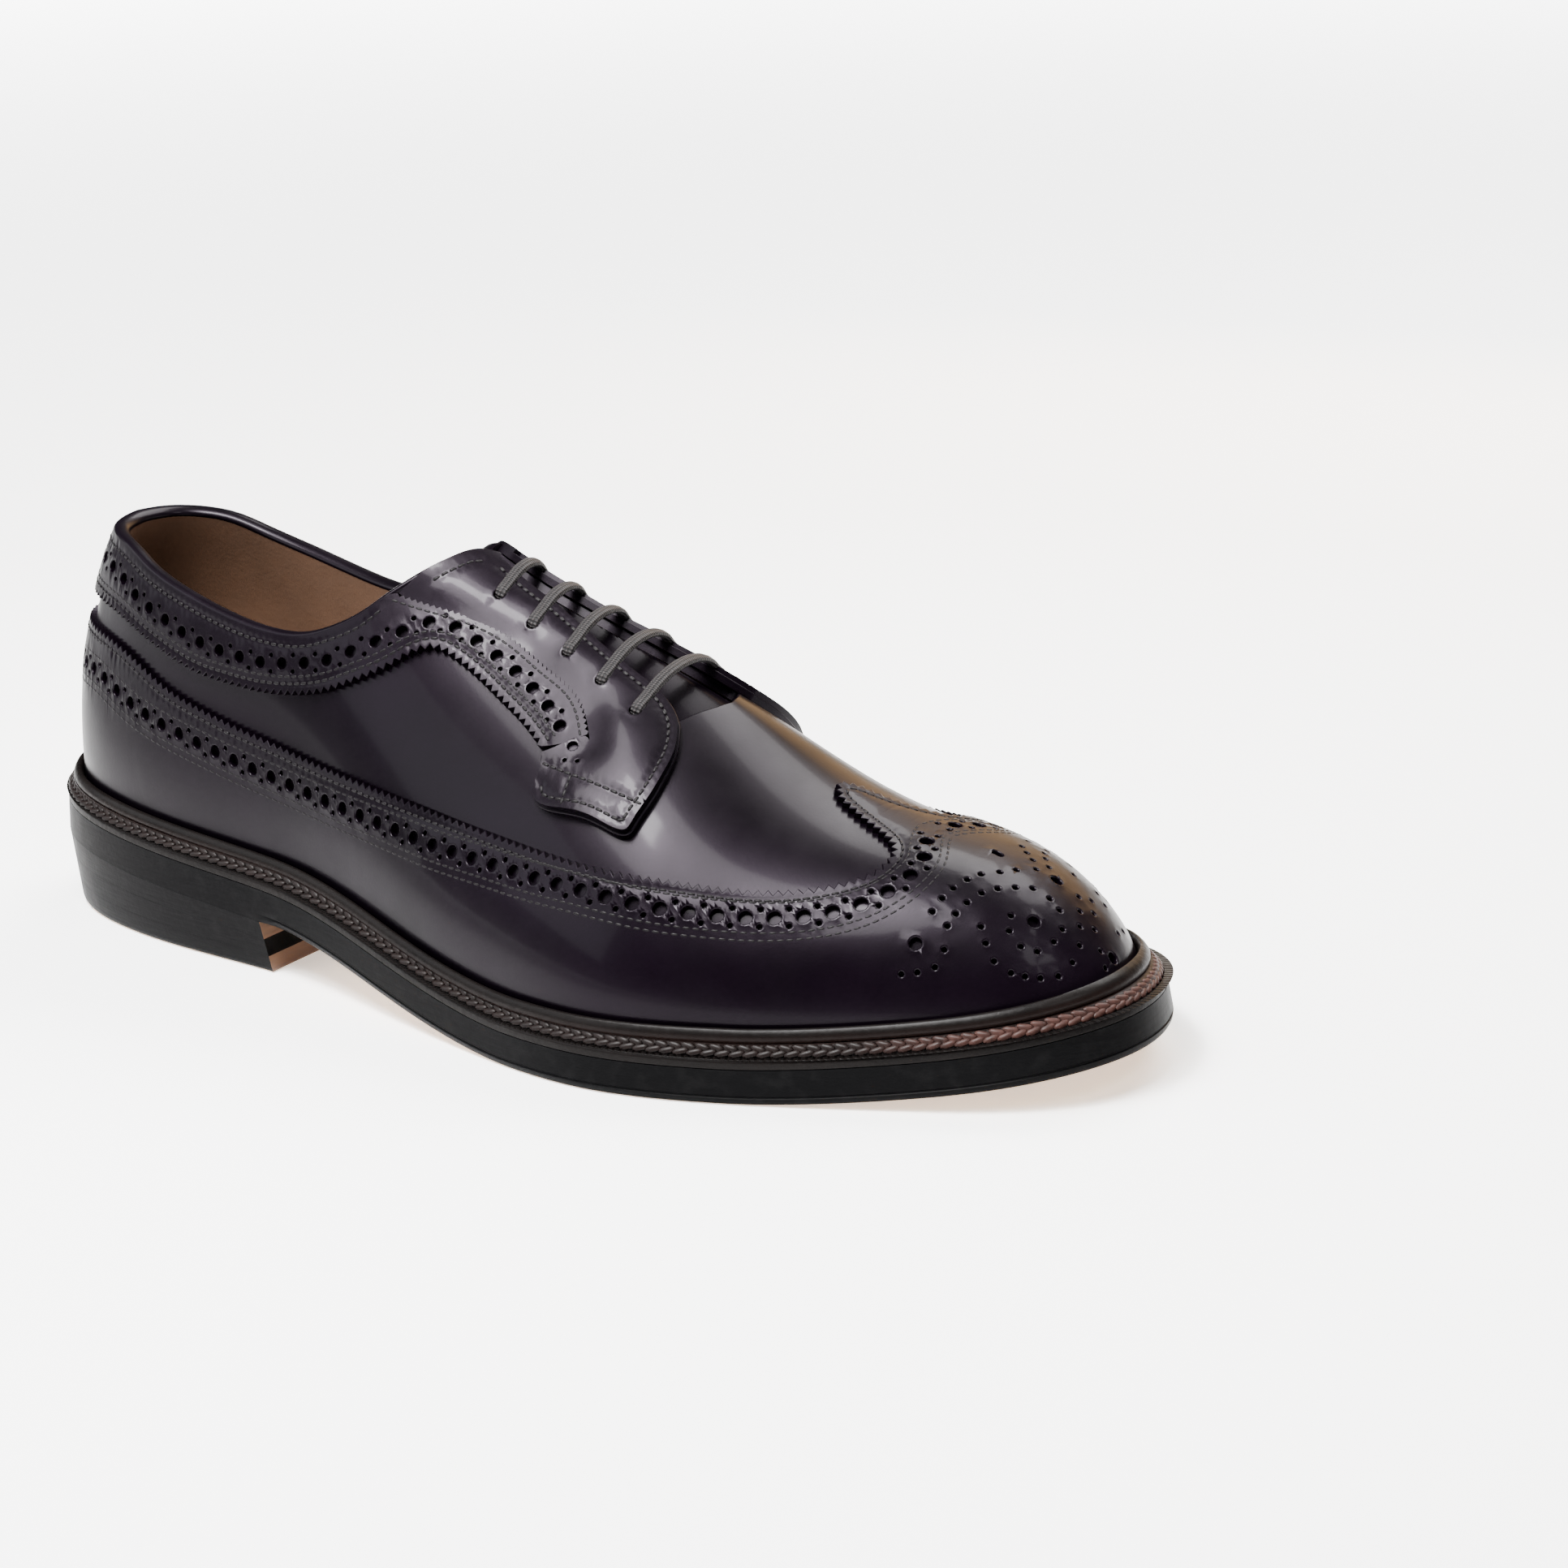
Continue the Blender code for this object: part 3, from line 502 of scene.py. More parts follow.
def last(s, t):
    """Point of the last at arc s round the shoe and share t of the way up its side."""
    s, t = np.broadcast_arrays(np.asarray(s, float), np.asarray(t, float))
    plan, top = ray_ends(s)
    low = lift(plan, FOOT_HEIGHT)
    wide, high, swell = np.moveaxis(section(low[..., 0]), -1, 0)
    turn = t * np.pi / 2
    inward = 1 - np.maximum(np.cos(turn), 0) ** wide
    rise = np.maximum(np.sin(turn), 0) ** high
    ray = top - low[..., :2]
    unit = ray / np.linalg.norm(ray, axis=-1, keepdims=True)
    puff = 1.6 * swell * np.sin(np.pi * rise**0.8) * (1 - rise)
    xy = low[..., :2] + ray * inward[..., None] - unit * puff[..., None]
    z = low[..., 2] + (top_line(xy[..., 0])[..., 0] - low[..., 2]) * rise
    return np.concatenate([xy, z[..., None]], -1)


def outward(s, t):
    """Direction square to the last."""
    mid = np.clip(t, 0.006, 0.985)
    out = np.cross(last(s + 0.4, mid) - last(s - 0.4, mid), last(s, mid + 0.006) - last(s, mid - 0.006))
    return out / np.linalg.norm(out, axis=-1, keepdims=True)


def raised(st, by):
    """Points on the last moved out by a distance square to it."""
    s, t = np.asarray(st, float).T
    return last(s, t) + outward(s, t) * np.broadcast_to(np.asarray(by, float), s.shape)[:, None]


STATIONS = ray_ends(ARCS)[0][:, 0]
TOE_ARC = int(STATIONS.argmax())


def arc(share, side):
    """Arc of a share of the length on the outer side (-1) or the inner side (+1)."""
    if side < 0:
        return np.interp(np.asarray(share) * LENGTH, STATIONS[: TOE_ARC + 1], ARCS[: TOE_ARC + 1])
    return np.interp(np.asarray(share) * LENGTH, STATIONS[TOE_ARC:][::-1], ARCS[TOE_ARC:][::-1])


def stepped(st, step, closed=False):
    """The same line on the last in even steps."""
    if closed:
        st = np.vstack([st, st[:1]])
    run = np.r_[0, np.cumsum(np.linalg.norm(np.diff(last(*st.T), axis=0), axis=1))]
    at = np.linspace(0, run[-1], max(2, round(run[-1] / step) + 1))
    even = np.column_stack([np.interp(at, run, st[:, k]) for k in (0, 1)])
    return even[:-1] if closed else even


def drawn(rows, side, step=0.8):
    """An edge's rows as a smooth line of even steps on one side."""
    rows = np.asarray(rows, float)
    points = np.column_stack([arc(rows[:, 0], side), rows[:, 1]])
    run = np.r_[0, np.cumsum(np.linalg.norm(np.diff(last(*points.T), axis=0), axis=1))]
    curve = spline(np.column_stack([run, points]))
    return curve(np.linspace(0, run[-1], max(2, round(run[-1] / step) + 1)))


def both_sides(rows, step=0.8):
    return np.vstack([drawn(rows, -1, step), drawn(rows, 1, step)[::-1][1:-1]])


def shifted(st, along, upward, level=False):
    """The line moved over the last by distances along itself, or along the shoe, and to its left."""
    s, t = st.T
    above, below = np.minimum(t + 0.004, 1), t - 0.004
    e = last(s + 0.5, t) - last(s - 0.5, t)
    f = (last(s, above) - last(s, below)) / (above - below)[:, None]
    ahead = e if level else np.gradient(last(s, t), axis=0)
    ahead = ahead / np.linalg.norm(ahead, axis=1, keepdims=True)
    left = np.cross(outward(s, t), ahead)
    want = ahead * np.broadcast_to(along, s.shape)[:, None] + left * np.broadcast_to(upward, s.shape)[:, None]
    ee, ef, ff = (e * e).sum(1), (e * f).sum(1), (f * f).sum(1)
    we, wf = (want * e).sum(1), (want * f).sum(1)
    whole = ee * ff - ef * ef
    along_last, up_last = (we * ff - wf * ef) / whole, (wf * ee - we * ef) / whole
    return np.column_stack([s + along_last, np.minimum(t + up_last, 1.0)])


def beside(st, by, side):
    """The line moved up the side by a distance, or down by a negative one; it runs from heel to toe."""
    return shifted(st, 0, -side * np.asarray(by, float))


def pinked(st, side, pitch=2.2, depth=1.3):
    """A heel-to-toe line cut in small teeth."""
    line = stepped(st, pitch / 2)
    teeth = np.where(np.arange(len(line)) % 2, 0.5, -0.5) * depth
    teeth[[0, -1]] = 0
    return beside(line, teeth, side)


def chart(st):
    """Flat map of the last: each side laid out at about its girth."""
    low, top = ray_ends(st[:, 0])
    ray = low - top
    reach = np.linalg.norm(ray, axis=1, keepdims=True)
    drop = top_line(top[:, 0])[:, :1] - lift(low, FOOT_HEIGHT)[:, 2:]
    return top + ray / reach * (reach + 0.8 * drop) * (1 - st[:, 1:])


def inside(points, loop):
    """Whether each flat point lies in the closed loop."""
    found = np.zeros(len(points), bool)
    for (ax, ay), (bx, by) in zip(loop, np.roll(loop, -1, 0)):
        rows = (ay > points[:, 1]) != (by > points[:, 1])
        if rows.any():
            found[rows] ^= points[rows, 0] < (bx - ax) * (points[rows, 1] - ay) / (by - ay) + ax
    return found


def tree_of(points):
    tree = KDTree(len(points))
    for k, p in enumerate(points):
        tree.insert(p, k)
    tree.balance()
    return tree


def apart(points, others):
    """Distance of each point to the nearest of the others."""
    tree = tree_of(others)
    return np.array([tree.find(p)[2] for p in points])


def fine_grid(spacing):
    """Points all over the last, about evenly apart."""
    found, shares = [], np.linspace(0, 1, 101)
    climb = last(np.full(len(shares), arc(0.6, -1)), shares)
    run = np.r_[0, np.cumsum(np.linalg.norm(np.diff(climb, axis=0), axis=1))]
    for k, t in enumerate(np.interp(np.arange(spacing, run[-1] + spacing, spacing), run, shares)):
        line = np.column_stack([ARCS, np.full(len(ARCS), t)])
        even = stepped(line, spacing)[:-1]
        found.append(even + (spacing / 2 * (k % 2), 0))
    return np.vstack(found)


GRID = fine_grid(2.2)
GRID_FLAT = chart(GRID)
# Least distances: a hole from an edge and a seam's point from a lip, a detail's point from a rim, and a grid
# point from any other.
HOLE_CLEAR, DETAIL_CLEAR, GRID_CLEAR = 0.5, 0.25, 1.1


def hide(name, loops, low, high, finishes, holes=(), lips=(), seams=(), bulge=None, rounded=0.3,
         ride_low=None):
    """A piece of leather on the last: outline and openings, punched holes with their lips, sewn seams.

    Lip and seam rows are (arc, share up, height over the surface). bulge gives such a height for places on
    the upper face, and ride_low for places on the lower one.
    """
    flats = [chart(loop) for loop in loops]

    def kept(flat):
        keep = inside(flat, flats[0])
        for loop in flats[1:]:
            keep &= ~inside(flat, loop)
        return keep

    outer = np.vstack([last(*loop.T) for loop in loops])
    clear = [rim for rim in holes if kept(chart(rim)).all() and apart(last(*rim.T), outer).min() > HOLE_CLEAR]
    rounds = [last(*loop.T) for loop in clear]
    middles = [round_it.mean(axis=0) for round_it in rounds]
    rims = list(loops) + clear
    edges, count = [], 0
    for loop in rims:
        edges += [(count + i, count + (i + 1) % len(loop)) for i in range(len(loop))]
        count += len(loop)
    rim = np.vstack(rims)
    owner = np.concatenate([np.full(len(loop), k) for k, loop in enumerate(rims)])
    rim_places = last(*rim.T)
    extra = np.vstack([np.zeros((0, 3)), *lips])
    for rows in seams:
        if len(extra):
            rows = rows[apart(last(*rows[:, :2].T), last(*extra[:, :2].T)) > HOLE_CLEAR]
        extra = np.vstack([extra, rows])
    if len(extra):
        extra = extra[kept(chart(extra[:, :2]))]
        places = last(*extra[:, :2].T)
        free = apart(places, rim_places) > DETAIL_CLEAR
        for round_it, middle in zip(rounds, middles):
            reach = np.linalg.norm(round_it - middle, axis=1).max() + 0.1
            free &= np.linalg.norm(places - middle, axis=1) > reach
        extra = extra[free]
    taken = np.vstack([rim_places, last(*extra[:, :2].T), *middles])
    grid = GRID[kept(GRID_FLAT)]
    grid = grid[apart(last(*grid.T), taken) > GRID_CLEAR]
    st = np.vstack([rim, extra[:, :2], grid])
    over = np.r_[np.zeros(len(rim)), extra[:, 2], np.zeros(len(grid))]
    flat = chart(st)
    made, _, tris, origin, _, _ = delaunay_2d_cdt([Vector(p) for p in flat], edges, [], 0, 1e-6)
    flat_tree = tree_of([(*p, 0.0) for p in flat])
    origin = np.array([o[0] if o else flat_tree.find((*p, 0.0))[1] for p, o in zip(made, origin)])
    tris = origin[np.array(tris)]
    tris = tris[kept(flat[tris].mean(axis=1))]
    owners = np.r_[owner, np.full(len(st) - len(owner), -1)][tris]
    punched = (owners[:, 0] == owners[:, 1]) & (owners[:, 1] == owners[:, 2]) & (owners[:, 0] >= len(loops))
    tris = tris[~punched]
    a, b, c = (flat[tris[:, i]] for i in range(3))
    turn = np.cross(b - a, c - a)
    tris = tris[np.abs(turn) > 1e-7]
    turn = turn[np.abs(turn) > 1e-7]
    tris[turn < 0] = tris[turn < 0][:, ::-1]
    used = np.unique(tris)
    fresh = np.full(len(st), -1)
    fresh[used] = np.arange(len(used))
    st, over, tris = st[used], over[used], fresh[tris]
    count = len(st)
    if bulge is not None:
        over = over + bulge(last(*st.T))
    tops = raised(st, high + over)
    floor = raised(st, low if ride_low is None else low + ride_low(last(*st.T)))
    ends = np.vstack([tris[:, [0, 1]], tris[:, [1, 2]], tris[:, [2, 0]]])
    key, back_key = ends[:, 0] * count + ends[:, 1], ends[:, 1] * count + ends[:, 0]
    rim_edges = ends[~np.isin(key, back_key)]
    p, q = rim_edges.T
    walls = np.column_stack([q, p, p + count, q + count])
    faces = tris.tolist() + (tris[:, ::-1] + count).tolist() + walls.tolist()
    paint = np.r_[np.zeros(len(tris), int), np.full(len(tris), len(finishes) - 1), np.zeros(len(walls), int)]
    piece = placed(name, np.vstack([tops, floor]), faces, finishes, paint, smooth=50)
    if rounded:
        mesh = piece.data
        ends = np.empty(2 * len(mesh.edges), np.int32)
        mesh.edges.foreach_get("vertices", ends)
        ends = np.sort(ends.reshape(-1, 2), axis=1)
        weights = mesh.attributes.new("bevel_weight_edge", "FLOAT", "EDGE")
        wanted = np.isin(ends[:, 0] * count * 2 + ends[:, 1], np.minimum(p, q) * count * 2 + np.maximum(p, q))
        weights.data.foreach_set("value", wanted.astype(np.float32))
        soft = piece.modifiers.new("soft edge", "BEVEL")
        soft.limit_method, soft.width, soft.segments = "WEIGHT", rounded / 1000, 2
        soft.use_clamp_overlap = True
        bpy.ops.object.modifier_apply(modifier=soft.name)
    return piece


def punched_hole(st, radius, corners):
    """A punched hole's rim and the pushed-up leather round it, as detail rows."""
    turn = np.linspace(0, 2 * np.pi, corners + 1)[:-1]
    middle = np.tile(st, (corners, 1))

    def at(r, shift=0.0):
        return shifted(middle, r * np.cos(turn + shift), r * np.sin(turn + shift), level=True)

    lip = 0.14 if radius > 1 else 0.07
    rows = [np.column_stack([at(radius + 0.22, np.pi / corners), np.full(corners, lip)]),
            np.column_stack([at(radius + 0.52), np.zeros(corners)])]
    return at(radius), np.vstack(rows)


def seam(line, side):
    """Detail rows of the dimples that a row of stitches pulls into the leather."""
    even = stepped(line, 1.05)
    found = [np.column_stack([even, np.where(np.arange(len(even)) % 2, -0.10, -0.26)])]
    for by in (-0.85, 0.85):
        found.append(np.column_stack([beside(even, by, side), np.zeros(len(even))]))
    return np.vstack(found)


def sewn(lines, over, pitch=2.1):
    """Middles, directions and normals of the stitches along lines on the last."""
    middles, aheads, ups = [], [], []
    for line in lines:
        even = stepped(line, pitch)
        mid = (even[1:] + even[:-1]) / 2
        height = over(mid) if callable(over) else over
        middles.append(raised(mid, height))
        aheads.append(raised(even[1:], height) - raised(even[:-1], height))
        ups.append(outward(*mid.T))
    return np.vstack(middles), np.vstack(aheads), np.vstack(ups)


def shell_leather(name, gloss=1.0, tone=1.0):
    """Glossy shell leather: nearly black aubergine, waxed and brushed, with a faint pore and soft clouds."""
    made, shop, wire = finish(name, Coat_Weight=0.045 * gloss, Coat_Roughness=0.1,
                              Specular_IOR_Level=0.06 * gloss, Specular_Tint=(0.96, 0.8, 1.0))
    deepest, lightest = tone * np.array([(0.0005, 0.0002, 0.0006), (0.0017, 0.0006, 0.0019)])
    cloud = shop.ramp(shop.noise(24, 4), (0.3, 0.0), (0.75, 1.0))
    wire("Base Color", shop.mix(cloud, tuple(deepest), tuple(lightest)))
    pore, haze = shop.noise(1500, 3), shop.noise(110, 4)
    wire("Roughness", 0.27 + 0.16 * haze)
    wire("Normal", shop.bump(pore, 0.00004, 0.35, shop.bump(haze, 0.00012, 0.12)))
    return made


SHELL = shell_leather("shell_leather")
LINING, shop, wire = finish("brown_lining")
wire("Base Color", shop.mix(shop.noise(60, 5), (0.055, 0.027, 0.014), (0.115, 0.058, 0.030)))
wire("Roughness", 0.55 + 0.2 * shop.noise(400, 3))
wire("Normal", shop.bump(shop.noise(900, 4), 0.0001, 0.6))


def foot_line(share):
    """A closed line all round the last at one share of the way up."""
    return np.column_stack([np.linspace(0, ROUND, 361)[:-1], np.full(360, share)])


# The throat is cut a little lower in the quarters than in the facings that lie over them.
mouth = both_sides(TOPLINE + [(x, t - 0.03) for x, t in THROAT] + THROAT_END, 1.6)
holes = [punched_hole((arc(x, side), t), EYELET_RADIUS + 0.3, 12)[0] for side in (-1, 1) for x, t in EYELETS]
upper = hide("vamp_and_quarters", [foot_line(0.0), mouth], -WALL, 0.0, [SHELL, LINING], holes)
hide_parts("upper")


# Long wing: one strip of shell leather round the whole shoe, pinked along its top edge, sewn down with
# double rows, punched with large and small holes, and with a rosette punched over the toe.
WING_EDGE = [
    (0.000, 0.277), (0.026, 0.275), (0.084, 0.262), (0.140, 0.238), (0.182, 0.210), (0.218, 0.200),
    (0.253, 0.197), (0.289, 0.200), (0.321, 0.207), (0.357, 0.223), (0.393, 0.247), (0.429, 0.273),
    (0.461, 0.295), (0.497, 0.314), (0.545, 0.334), (0.610, 0.357), (0.649, 0.379), (0.695, 0.423),
    (0.727, 0.460), (0.758, 0.507), (0.779, 0.552), (0.800, 0.615), (0.817, 0.700), (0.821, 0.770),
    (0.817, 0.830), (0.799, 0.880), (0.779, 0.905), (0.760, 0.925), (0.742, 0.960), (0.737, 1.000),
]
# Middle line of the wing's brogue row: share of the length, share of the way up.
WING_ROW = [
    (0.004, 0.198), (0.050, 0.198), (0.091, 0.193), (0.131, 0.170), (0.175, 0.153), (0.224, 0.147),
    (0.272, 0.147), (0.323, 0.157), (0.376, 0.183), (0.433, 0.223), (0.483, 0.253), (0.535, 0.280),
    (0.588, 0.300), (0.634, 0.320), (0.677, 0.340), (0.717, 0.373), (0.759, 0.420), (0.803, 0.503),
    (0.825, 0.580), (0.841, 0.687), (0.848, 0.820), (0.838, 0.927), (0.834, 0.965), (0.832, 1.000),
]
BIG_HOLE, SMALL_HOLE, HOLE_PITCH, HOLE_PAIR = 1.55, 0.62, 6.3, 1.95
WING_HIGH = OVERLAY_GAP + OVERLAY


def brogued(line, side, pitch, big=BIG_HOLE, small=SMALL_HOLE, pair=HOLE_PAIR, first=0.5):
    """Holes of one brogue row: a large hole, then two small ones across the row, and so on."""
    even = stepped(line, pitch / 2)
    rims, rows = [], []
    for k in range(1, len(even) - 1):
        if k % 2:
            spots = [(even[k], big, 14)]
        else:
            around_k = even[k - 1 : k + 2]
            spots = [(beside(around_k, by, side)[1], small, 8) for by in (-pair, pair)]
        for st, radius, corners in spots:
            rim, lip = punched_hole(st, radius, corners)
            rims.append(rim)
            rows.append(lip)
    return rims, rows


wing_holes, wing_lips, wing_seams, wing_lines = [], [], [], []
for side in (-1, 1):
    edge, row = drawn(WING_EDGE, side), drawn(WING_ROW, side)
    rims, rows = brogued(row, side, HOLE_PITCH)
    wing_holes += rims
    wing_lips += rows
    lines = [beside(edge, -2.0, side)] + [beside(row, by, side) for by in (3.4, -3.4, -5.1)]
    lines = [line[line[:, 1] < 0.999] for line in lines]
    wing_lines += lines
    wing_seams.append(seam(lines[0], side))

# The rosette over the toe, in plan: its large holes, then curls of small ones. The inner half mirrors the
# outer one, but for holes that would come too close to another.
ROSETTE_AXIS, ROSETTE_APART, LARGE_SPOT = 3.0, 2.6, 1.4
LARGE_SPOTS = [(268, 3), (280, 7), (283, -7.5), (264, -24), (295, 4)]
CURLS = [
    (263, -28), (266, -26.5), (269, -24.5), (270, -22), (269, -19), (269.5, -16.5), (270.5, -13.5),
    (272, -10), (274, -7), (276.5, -4), (279, -1), (282.5, 0), (285, -0.5), (287.5, -3.5), (287.5, -7),
    (286, -11), (283, -13), (280, -12.5), (279, -10), (265, -18.5), (265.5, -15.5), (266.5, -12.5),
    (268, -9), (269.5, -6), (272, -2.5), (274, 1), (276, 5.5), (273.5, 8.5), (271, 10.5), (268.5, 12.5),
    (275, -15.5), (277, -17), (279.5, -18), (283, -17), (285.5, -15.5), (288, -13.5), (290.5, -10.5),
    (291.5, -6.5), (291, -2.5), (289, 1), (287, 4.5), (284.5, 8.5), (285.5, 12), (288, 8.5), (290.5, 4.5),
    (293.5, 1.5), (295.5, 0),
]
outer_half = [(*spot, LARGE_SPOT) for spot in LARGE_SPOTS] + [(*spot, SMALL_HOLE) for spot in CURLS]
spots = list(outer_half)
for x, y, radius in outer_half:
    mirrored = np.array([x, 2 * ROSETTE_AXIS - y])
    room = np.linalg.norm(np.array(spots)[:, :2] - mirrored, axis=1) - np.array(spots)[:, 2]
    if room.min() > ROSETTE_APART:
        spots.append((*mirrored, radius))
toe_arcs, toe_shares = np.meshgrid(np.linspace(arc(0.82, -1), arc(0.82, 1), 420),
                                   np.linspace(0.25, 0.995, 260))
toe_cap = np.column_stack([toe_arcs.ravel(), toe_shares.ravel()])
toe_tree = tree_of([(x, y, 0.0) for x, y, _ in last(*toe_cap.T)])
for x, y, radius in spots:
    rim, lip = punched_hole(toe_cap[toe_tree.find((x, y, 0.0))[1]], radius, 12 if radius > 1 else 8)
    wing_holes.append(rim)
    wing_lips.append(lip)

pinked_edge = np.vstack([pinked(drawn(WING_EDGE, -1), -1), pinked(drawn(WING_EDGE, 1), 1)[::-1][1:-1]])
wing = hide("long_wing", [foot_line(0.012), pinked_edge], 0.05, WING_HIGH, [SHELL], wing_holes, wing_lips,
            wing_seams)
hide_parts("longwing")
THREAD, shop, wire = finish("dark_thread", Coat_Weight=0.04, Coat_Roughness=0.3, Specular_IOR_Level=0.08)
wire("Base Color", shop.mix(shop.noise(900, 2), (0.001, 0.0006, 0.001), (0.004, 0.003, 0.0036)))
wire("Roughness", 0.4 + 0.2 * shop.noise(1200, 2))
wing_stitches = repeated("wing_stitches", *sewn(wing_lines, WING_HIGH - 0.1), (1.75, 0.7, 0.45), THREAD)


# Storm welt: a ribbed shelf round the sole's edge, a sewn groove inside it, and a raised bead that stands
# close against the upper.
BEAD_HEIGHT, BEAD_WIDTH, WELT_CLEAR = 7.6, 2.5, 0.35
GROOVE_RISE = 0.35 * BEAD_HEIGHT
WELT_LEATHER, shop, wire = finish("welt_leather", Coat_Weight=0.03, Coat_Roughness=0.25,
                                  Specular_IOR_Level=0.05)
run_round, from_rim = shop.along_and_across()
crust, fleck = shop.noise(120, 5), shop.noise(700, 4)
rib = (run_round * 3.9).math("SINE") * shop.ramp(from_rim, (0.10, 0.0), (0.16, 1.0), (0.50, 1.0), (0.56, 0.0))
groove = shop.ramp(from_rim, (0.50, 0.0), (0.58, 1.0), (0.74, 1.0), (0.80, 0.0))
brown = shop.mix(crust, (0.0010, 0.0008, 0.0008), (0.0040, 0.0028, 0.0025))
ribbed = shop.mix(rib * 0.5, brown, (0.0, 0.0, 0.0))
wire("Base Color", shop.mix(groove * 0.7, ribbed, (0.006, 0.0024, 0.0018)))
wire("Roughness", 0.32 + 0.25 * fleck)
wire("Normal", shop.bump(rib, 0.0005, 1.0, shop.bump(fleck, 0.00016, 0.7)))


def level_with(xy, height):
    """Points of the layer at this height that stand over or under the given plan points."""
    return lift(2 * xy - lift(xy, height)[..., :2], height)


def share_at(s, height):
    """Share of the way up the side at a height above the upper's foot."""
    shares = np.linspace(0, 0.6, 61)
    rise = last(s[:, None], shares[None])[..., 2] - last(s, 0.0)[:, None, 2]
    return np.array([np.interp(height, row, shares) for row in rise])


def off(s, height, out):
    """Points at a height above the upper's foot, out from its side."""
    return raised(np.column_stack([s, share_at(s, height)]), out)


welt_arcs = np.linspace(0, ROUND, 721)[:-1]
welt_in = WING_HIGH + WELT_CLEAR
shelf_top, groove_in = FOOT_HEIGHT + WELT, welt_in + BEAD_WIDTH
shelf_in = off(welt_arcs, GROOVE_RISE, groove_in)[:, :2]
rim = outline(welt_arcs)
# The welt's side: inset, height over the sole, share across. Its shelf and the groove's slope: share of the
# way in, height over the shelf. Its bead: share of its height, way in from the groove, share across.
WELT_SIDE = [(0.6, -0.1, 0.0), (0.0, 0.05, 0.02), (0.0, 0.62 * WELT, 0.05), (0.12, 0.86 * WELT, 0.07),
             (0.45, WELT, 0.09)]
SHELF = [(0.06, -0.15), (0.25, -0.05), (0.44, 0.05), (0.48, 0.1), (0.54, -0.1), (0.68, 0.7), (0.85, 1.9),
         (0.96, 2.6)]
BEAD = [(0.62, 0.5, 0.70), (0.69, 0.1, 0.72), (0.76, -0.05, 0.76), (0.86, 0.25, 0.80), (0.96, 0.75, 0.85),
        (1.0, 1.3, 0.9), (0.97, 1.9, 0.94), (0.88, 2.35, 0.97), (0.6, 2.5, 0.99)]
rows = [(lift(outline(welt_arcs, inset), FOOT_HEIGHT + rise), width_share)
        for inset, rise, width_share in WELT_SIDE]
rows += [(level_with(rim * (1 - share) + shelf_in * share, shelf_top + rise), 0.1 + 0.5 * share)
         for share, rise in SHELF]
rows += [(off(welt_arcs, BEAD_HEIGHT * height, groove_in - way_in), width_share)
         for height, way_in, width_share in BEAD]
rows.append((level_with(off(welt_arcs, 1.6, welt_in)[:, :2], FOOT_HEIGHT), 1.0))
rings = np.array([row for row, _ in rows])
count = len(welt_arcs)
i = np.arange(count)
j = (i + 1) % count
levels = len(rows)
faces = np.vstack([np.column_stack([k * count + i, k * count + j, (k + 1) % levels * count + j,
                                    (k + 1) % levels * count + i]) for k in range(levels)])
uv = np.concatenate([np.column_stack([welt_arcs, np.full(count, width_share)]) for _, width_share in rows])
welt = placed("welt", rings.reshape(-1, 3), faces.tolist(), [WELT_LEATHER], uv=uv, smooth=60)
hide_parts("storm_welt")
WELT_THREAD, shop, wire = finish("welt_thread", Coat_Weight=0.05, Coat_Roughness=0.3, Specular_IOR_Level=0.1)
ply = shop.noise(500, 3)
# Painted highlight: towards the toe the thread is painted lighter and redder.
front = shop.ramp(shop.axes(shop.place())[0] * 5, (0.52, 0.0), (0.64, 1.0))
wire("Base Color", shop.mix(ply * (0.12 + front), (0.0012, 0.0007, 0.0006), (0.045, 0.018, 0.014)))
wire("Roughness", 0.4 + 0.25 * ply)
WELT_PITCH = 3.1
at = np.arange(0, ROUND, WELT_PITCH)
line_rim, line_in = outline(at), off(at, GROOVE_RISE, groove_in)[:, :2]
spots = level_with(line_rim * 0.24 + line_in * 0.76, shelf_top + 1.3)
aheads = np.roll(spots, -1, 0) - np.roll(spots, 1, 0)
aheads /= np.linalg.norm(aheads, axis=1, keepdims=True)
inward = np.column_stack([line_in - line_rim, np.zeros(len(at))])
inward /= np.linalg.norm(inward, axis=1, keepdims=True)
upward = (inward + (0.0, 0.0, 1.0)) / np.sqrt(2)
ups = (np.array((0.0, 0.0, 1.0)) - inward) / np.sqrt(2)
middles = np.vstack([spots - upward * 0.7, spots + upward * 0.7 + aheads * 1.5])
leans = np.vstack([aheads + upward * 0.28, aheads - upward * 0.3])
welt_stitches = repeated("welt_stitches", middles, leans, np.vstack([ups, ups]), (3.7, 1.6, 0.9), WELT_THREAD)


# Collar band: a pinked and brogued strip round the collar that runs down the facing to the tab.
BAND_LOW = [
    (0.000, 0.337), (0.026, 0.335), (0.071, 0.325), (0.120, 0.307), (0.149, 0.289), (0.179, 0.273),
    (0.218, 0.261), (0.253, 0.267), (0.286, 0.280), (0.318, 0.307), (0.351, 0.355), (0.377, 0.413),
    (0.403, 0.484), (0.422, 0.550), (0.435, 0.580), (0.451, 0.590), (0.474, 0.587), (0.500, 0.573),
    (0.519, 0.562), (0.542, 0.542), (0.552, 0.530),
]
BAND_HIGH = [
    (0.390, 0.622), (0.412, 0.645), (0.435, 0.672), (0.461, 0.697), (0.494, 0.703), (0.529, 0.686),
    (0.552, 0.676), (0.571, 0.645), (0.583, 0.606),
]
